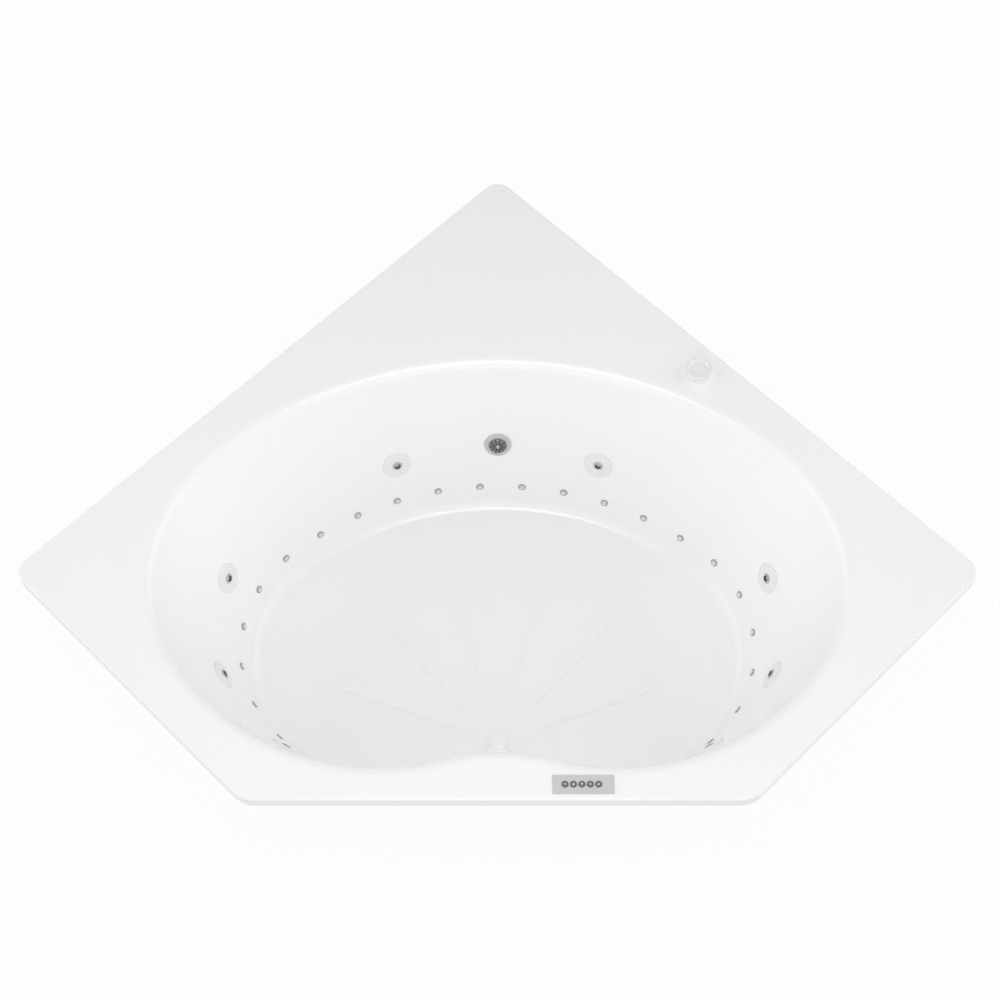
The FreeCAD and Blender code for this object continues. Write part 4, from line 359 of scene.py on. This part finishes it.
def turned_piece(name, profile, middle, axis, material, sides):
    """Piece turned round an axis from a closed outline of radii and heights, in millimetres."""
    side = axis.orthogonal().normalized()
    other = axis.cross(side)
    spots, faces = [], []
    for step in range(sides):
        turn = 2 * math.pi * step / sides
        outward = side * math.cos(turn) + other * math.sin(turn)
        spots += [middle + outward * (radius / MM_PER_METRE) + axis * (height / MM_PER_METRE)
                  for radius, height in profile]
    ring = len(profile)
    for step in range(sides):
        here, there = step * ring, (step + 1) % sides * ring
        for index in range(ring):
            after = (index + 1) % ring
            faces.append((here + index, here + after, there + after, there + index))
    data = bpy.data.meshes.new(name)
    data.from_pydata(spots, [], faces)
    clean = bmesh.new()
    clean.from_mesh(data)
    bmesh.ops.recalc_face_normals(clean, faces=clean.faces)
    clean.to_mesh(data)
    clean.free()
    data.materials.append(material)
    piece = add_object(name, data)
    smooth(piece)
    return piece


def dress_nozzle(number):
    """Pale front face, a mouth painted dark as painted shade inside it, and a pale ring that
    spreads the water in it.
    """
    name = "jet_nozzle_%d" % number
    mesh = nodes[name].data
    pale = materials["nozzle_face"]
    axis, middle = front_of(mesh.polygons)
    mesh.materials.append(pale)
    mesh.materials.append(materials["nozzle_mouth"])
    # forward faces pale; faces that look into the mouth get the painted shade
    for polygon in mesh.polygons:
        outward = place_round(polygon, axis, middle)[1]
        if polygon.normal.dot(axis) > LOOKS_FORWARD:
            polygon.material_index = 1
        elif outward.dot(polygon.normal) < 0:
            polygon.material_index = 2
    piece = turned_piece("diffuser_%d" % number, DIFFUSER, middle, axis, pale, DIFFUSER_SIDES)
    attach(piece, name)


def dress_injectors():
    """Painted shade: a grey edge round the white middle of each cap, for the shade on the cap's
    sides.
    """
    mesh = nodes["air_injectors"].data
    mesh.materials.append(materials["injector_edge_painted_shade"])
    for polygons in separate_solids(mesh):
        axis, middle = front_of(polygons)
        for polygon in polygons:
            height, outward = place_round(polygon, axis, middle)
            looks_aside = (outward.dot(polygon.normal) > CAP_SIDE
                           and polygon.normal.dot(axis) < LOOKS_FORWARD)
            # the cap's sides get the painted shade
            if height > CAP_BACK and looks_aside:
                polygon.material_index = 1


for number in NOZZLES:
    dress_nozzle(number)
dress_injectors()


# Icons on the buttons: plain raised marks, in millimetres, each riding on its button.

def disc(x, y, radius, sides=24):
    steps = [2 * math.pi * step / sides for step in range(sides)]
    return [(x + radius * math.cos(turn), y + radius * math.sin(turn)) for turn in steps]


def bar(x, y, length, width):
    """Bar with round ends."""
    half, end = length / 2 - width / 2, width / 2
    turns = [math.pi * step / 8 for step in range(9)]
    right = [(x + half + end * math.sin(turn), y - end * math.cos(turn)) for turn in turns]
    left = [(x - half - end * math.sin(turn), y + end * math.cos(turn)) for turn in turns]
    return right + left


def drop(x, y, radius):
    """Water drop with its point up."""
    turns = [math.radians(150 + 240 * step / 20) for step in range(21)]
    low = [(x + radius * math.cos(turn), y - radius * 0.4 + radius * math.sin(turn))
           for turn in turns]
    return low + [(x, y + radius * 1.5)]


ICONS = (
    [bar(0.0, 0.0, 5.0, 2.2)],
    [drop(0.0, 0.0, 2.1)],
    [disc(0.0, 0.8, 1.9), bar(0.0, -2.2, 2.4, 1.0)],
    [bar(0.0, 1.7, 4.6, 0.9), bar(0.0, 0.0, 4.6, 0.9), bar(0.0, -1.7, 4.6, 0.9)],
    [disc(-1.3, -1.0, 1.4), disc(1.5, -0.5, 1.1), disc(0.0, 1.8, 1.0)],
)
ICON_HEIGHT = 0.00012
ICON_SUNK = 0.00002


def add_icon(number, outlines):
    """Raised mark on the middle of a button, sunk a little into it."""
    body = "button_%d" % number
    low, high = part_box(body)
    mesh = bmesh.new()
    for outline in outlines:
        spots = [mesh.verts.new((x / MM_PER_METRE, y / MM_PER_METRE, 0.0)) for x, y in outline]
        face = mesh.faces.new(spots)
        if face.normal.z < 0:
            face.normal_flip()
        raised = bmesh.ops.extrude_face_region(mesh, geom=[face])["geom"]
        bmesh.ops.translate(mesh, vec=(0, 0, ICON_HEIGHT),
                            verts=[item for item in raised if isinstance(item, bmesh.types.BMVert)])
    bmesh.ops.recalc_face_normals(mesh, faces=mesh.faces)
    data = bpy.data.meshes.new("icon_%d" % number)
    mesh.to_mesh(data)
    mesh.free()
    data.materials.append(materials["icon_white"])
    icon = add_object("icon_%d" % number, data)
    icon.location = ((low.x + high.x) / 2, (low.y + high.y) / 2, high.z - ICON_SUNK)
    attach(icon, body)


for number, outlines in enumerate(ICONS, 1):
    add_icon(number, outlines)


# Stage: a pale floor that shows as white, softboxes and even fill from the room.

ROOM = 0.405
FLOOR_REACH = 40.0
FLOOR_GREY = 0.85
FLOOR_WHITE = 0.95  # the rest of the floor's look is its own light and shadow
# Softboxes: name, place, aim, width, depth and watts.
SOFTBOXES = (
    ("overhead", (0.0, -0.9, 3.2), (0.0, -0.1, 0.1), 1.1, 0.7, 20.5),
    ("high_front", (0.0, -3.4, 3.6), (0.0, 0.1, 0.2), 3.6, 1.8, 20.0),
    ("front", (0.0, -5.0, 2.2), (0.0, 0.2, 0.3), 5.2, 2.8, 45.0),
    ("left", (-4.4, 0.4, 2.2), (0.0, -0.1, 0.3), 4.6, 2.8, 61.0),
    ("right", (4.4, 0.4, 2.2), (0.0, -0.1, 0.3), 4.6, 2.8, 61.0),
    ("back_left", (-2.9, 2.3, 2.5), (0.3, -0.1, 0.4), 0.8, 0.8, 6.0),
    ("back_right", (2.9, 2.3, 2.5), (-0.3, -0.1, 0.4), 0.8, 0.8, 6.0),
)
# Camera fitted to the outline's corners in the photograph, in pixels and metres.
SENSOR = 36.0
PHOTO_WIDTH = 1000
FOCAL_PIXELS = 2156
AXIS_PIXEL = 497.74
EYE = (0.0, -2.409, 4.778)
EYE_TILT = math.asin(0.4783)


def math_node(tree, operation, first, second):
    """Result of a sum on two sockets, or on a socket and a number."""
    node = tree.nodes.new("ShaderNodeMath")
    node.operation = operation
    tree.links.new(first, node.inputs[0])
    if isinstance(second, float):
        node.inputs[1].default_value = second
    else:
        tree.links.new(second, node.inputs[1])
    return node.outputs["Value"]


def white_to_eye(tree, lit, white, share):
    """White where the backdrop is seen, directly or mirrored, and the lit shader for the rest."""
    path = tree.nodes.new("ShaderNodeLightPath").outputs
    seen = math_node(tree, "MAXIMUM", path["Is Camera Ray"], path["Is Glossy Ray"])
    seen = math_node(tree, "MAXIMUM", seen, path["Is Transmission Ray"])
    mix = tree.nodes.new("ShaderNodeMixShader")
    tree.links.new(math_node(tree, "MULTIPLY", seen, share), mix.inputs["Fac"])
    tree.links.new(lit, mix.inputs[1])
    tree.links.new(white, mix.inputs[2])
    return mix.outputs["Shader"]


def add_floor():
    data = bpy.data.meshes.new("floor")
    corners = [(-1, -1), (1, -1), (1, 1), (-1, 1)]
    data.from_pydata([(x * FLOOR_REACH, y * FLOOR_REACH, 0) for x, y in corners],
                     [], [(0, 1, 2, 3)])
    floor = add_object("floor", data)
    mat = bpy.data.materials.new("floor")
    mat.use_nodes = True
    tree = mat.node_tree
    tree.nodes.remove(tree.nodes["Principled BSDF"])
    matt = tree.nodes.new("ShaderNodeBsdfDiffuse")
    matt.inputs["Color"].default_value = (FLOOR_GREY, FLOOR_GREY, FLOOR_GREY, 1.0)
    white = tree.nodes.new("ShaderNodeEmission")
    shown = white_to_eye(tree, matt.outputs["BSDF"], white.outputs["Emission"], FLOOR_WHITE)
    tree.links.new(shown, tree.nodes["Material Output"].inputs["Surface"])
    data.materials.append(mat)


def add_world():
    """Even light from a pale room, and white where the backdrop is seen."""
    world = bpy.data.worlds.new("room")
    scene.world = world
    world.use_nodes = True
    tree = world.node_tree
    room = tree.nodes["Background"]
    room.inputs["Color"].default_value = (ROOM, ROOM, ROOM, 1.0)
    white = tree.nodes.new("ShaderNodeBackground")
    white.inputs["Color"].default_value = (1.0, 1.0, 1.0, 1.0)
    shown = white_to_eye(tree, room.outputs["Background"], white.outputs["Background"], 1.0)
    tree.links.new(shown, tree.nodes["World Output"].inputs["Surface"])


def add_softbox(name, place, aim, width, depth, power):
    lamp = bpy.data.lights.new(name, "AREA")
    lamp.shape = "RECTANGLE"
    lamp.size = width
    lamp.size_y = depth
    lamp.energy = power
    box = add_object(name, lamp)
    box.location = place
    box.rotation_euler = (Vector(aim) - Vector(place)).to_track_quat("-Z", "Y").to_euler()
    box.visible_camera = False


def add_camera():
    camera = bpy.data.cameras.new("camera")
    camera.sensor_width = SENSOR
    camera.lens = SENSOR * FOCAL_PIXELS / PHOTO_WIDTH
    camera.shift_x = (PHOTO_WIDTH / 2 - AXIS_PIXEL) / PHOTO_WIDTH
    eye = add_object("camera", camera)
    eye.location = EYE
    eye.rotation_euler = (EYE_TILT, 0.0, 0.0)
    scene.camera = eye


add_floor()
add_world()
for softbox in SOFTBOXES:
    add_softbox(*softbox)
add_camera()
scene.view_settings.view_transform = "Standard"
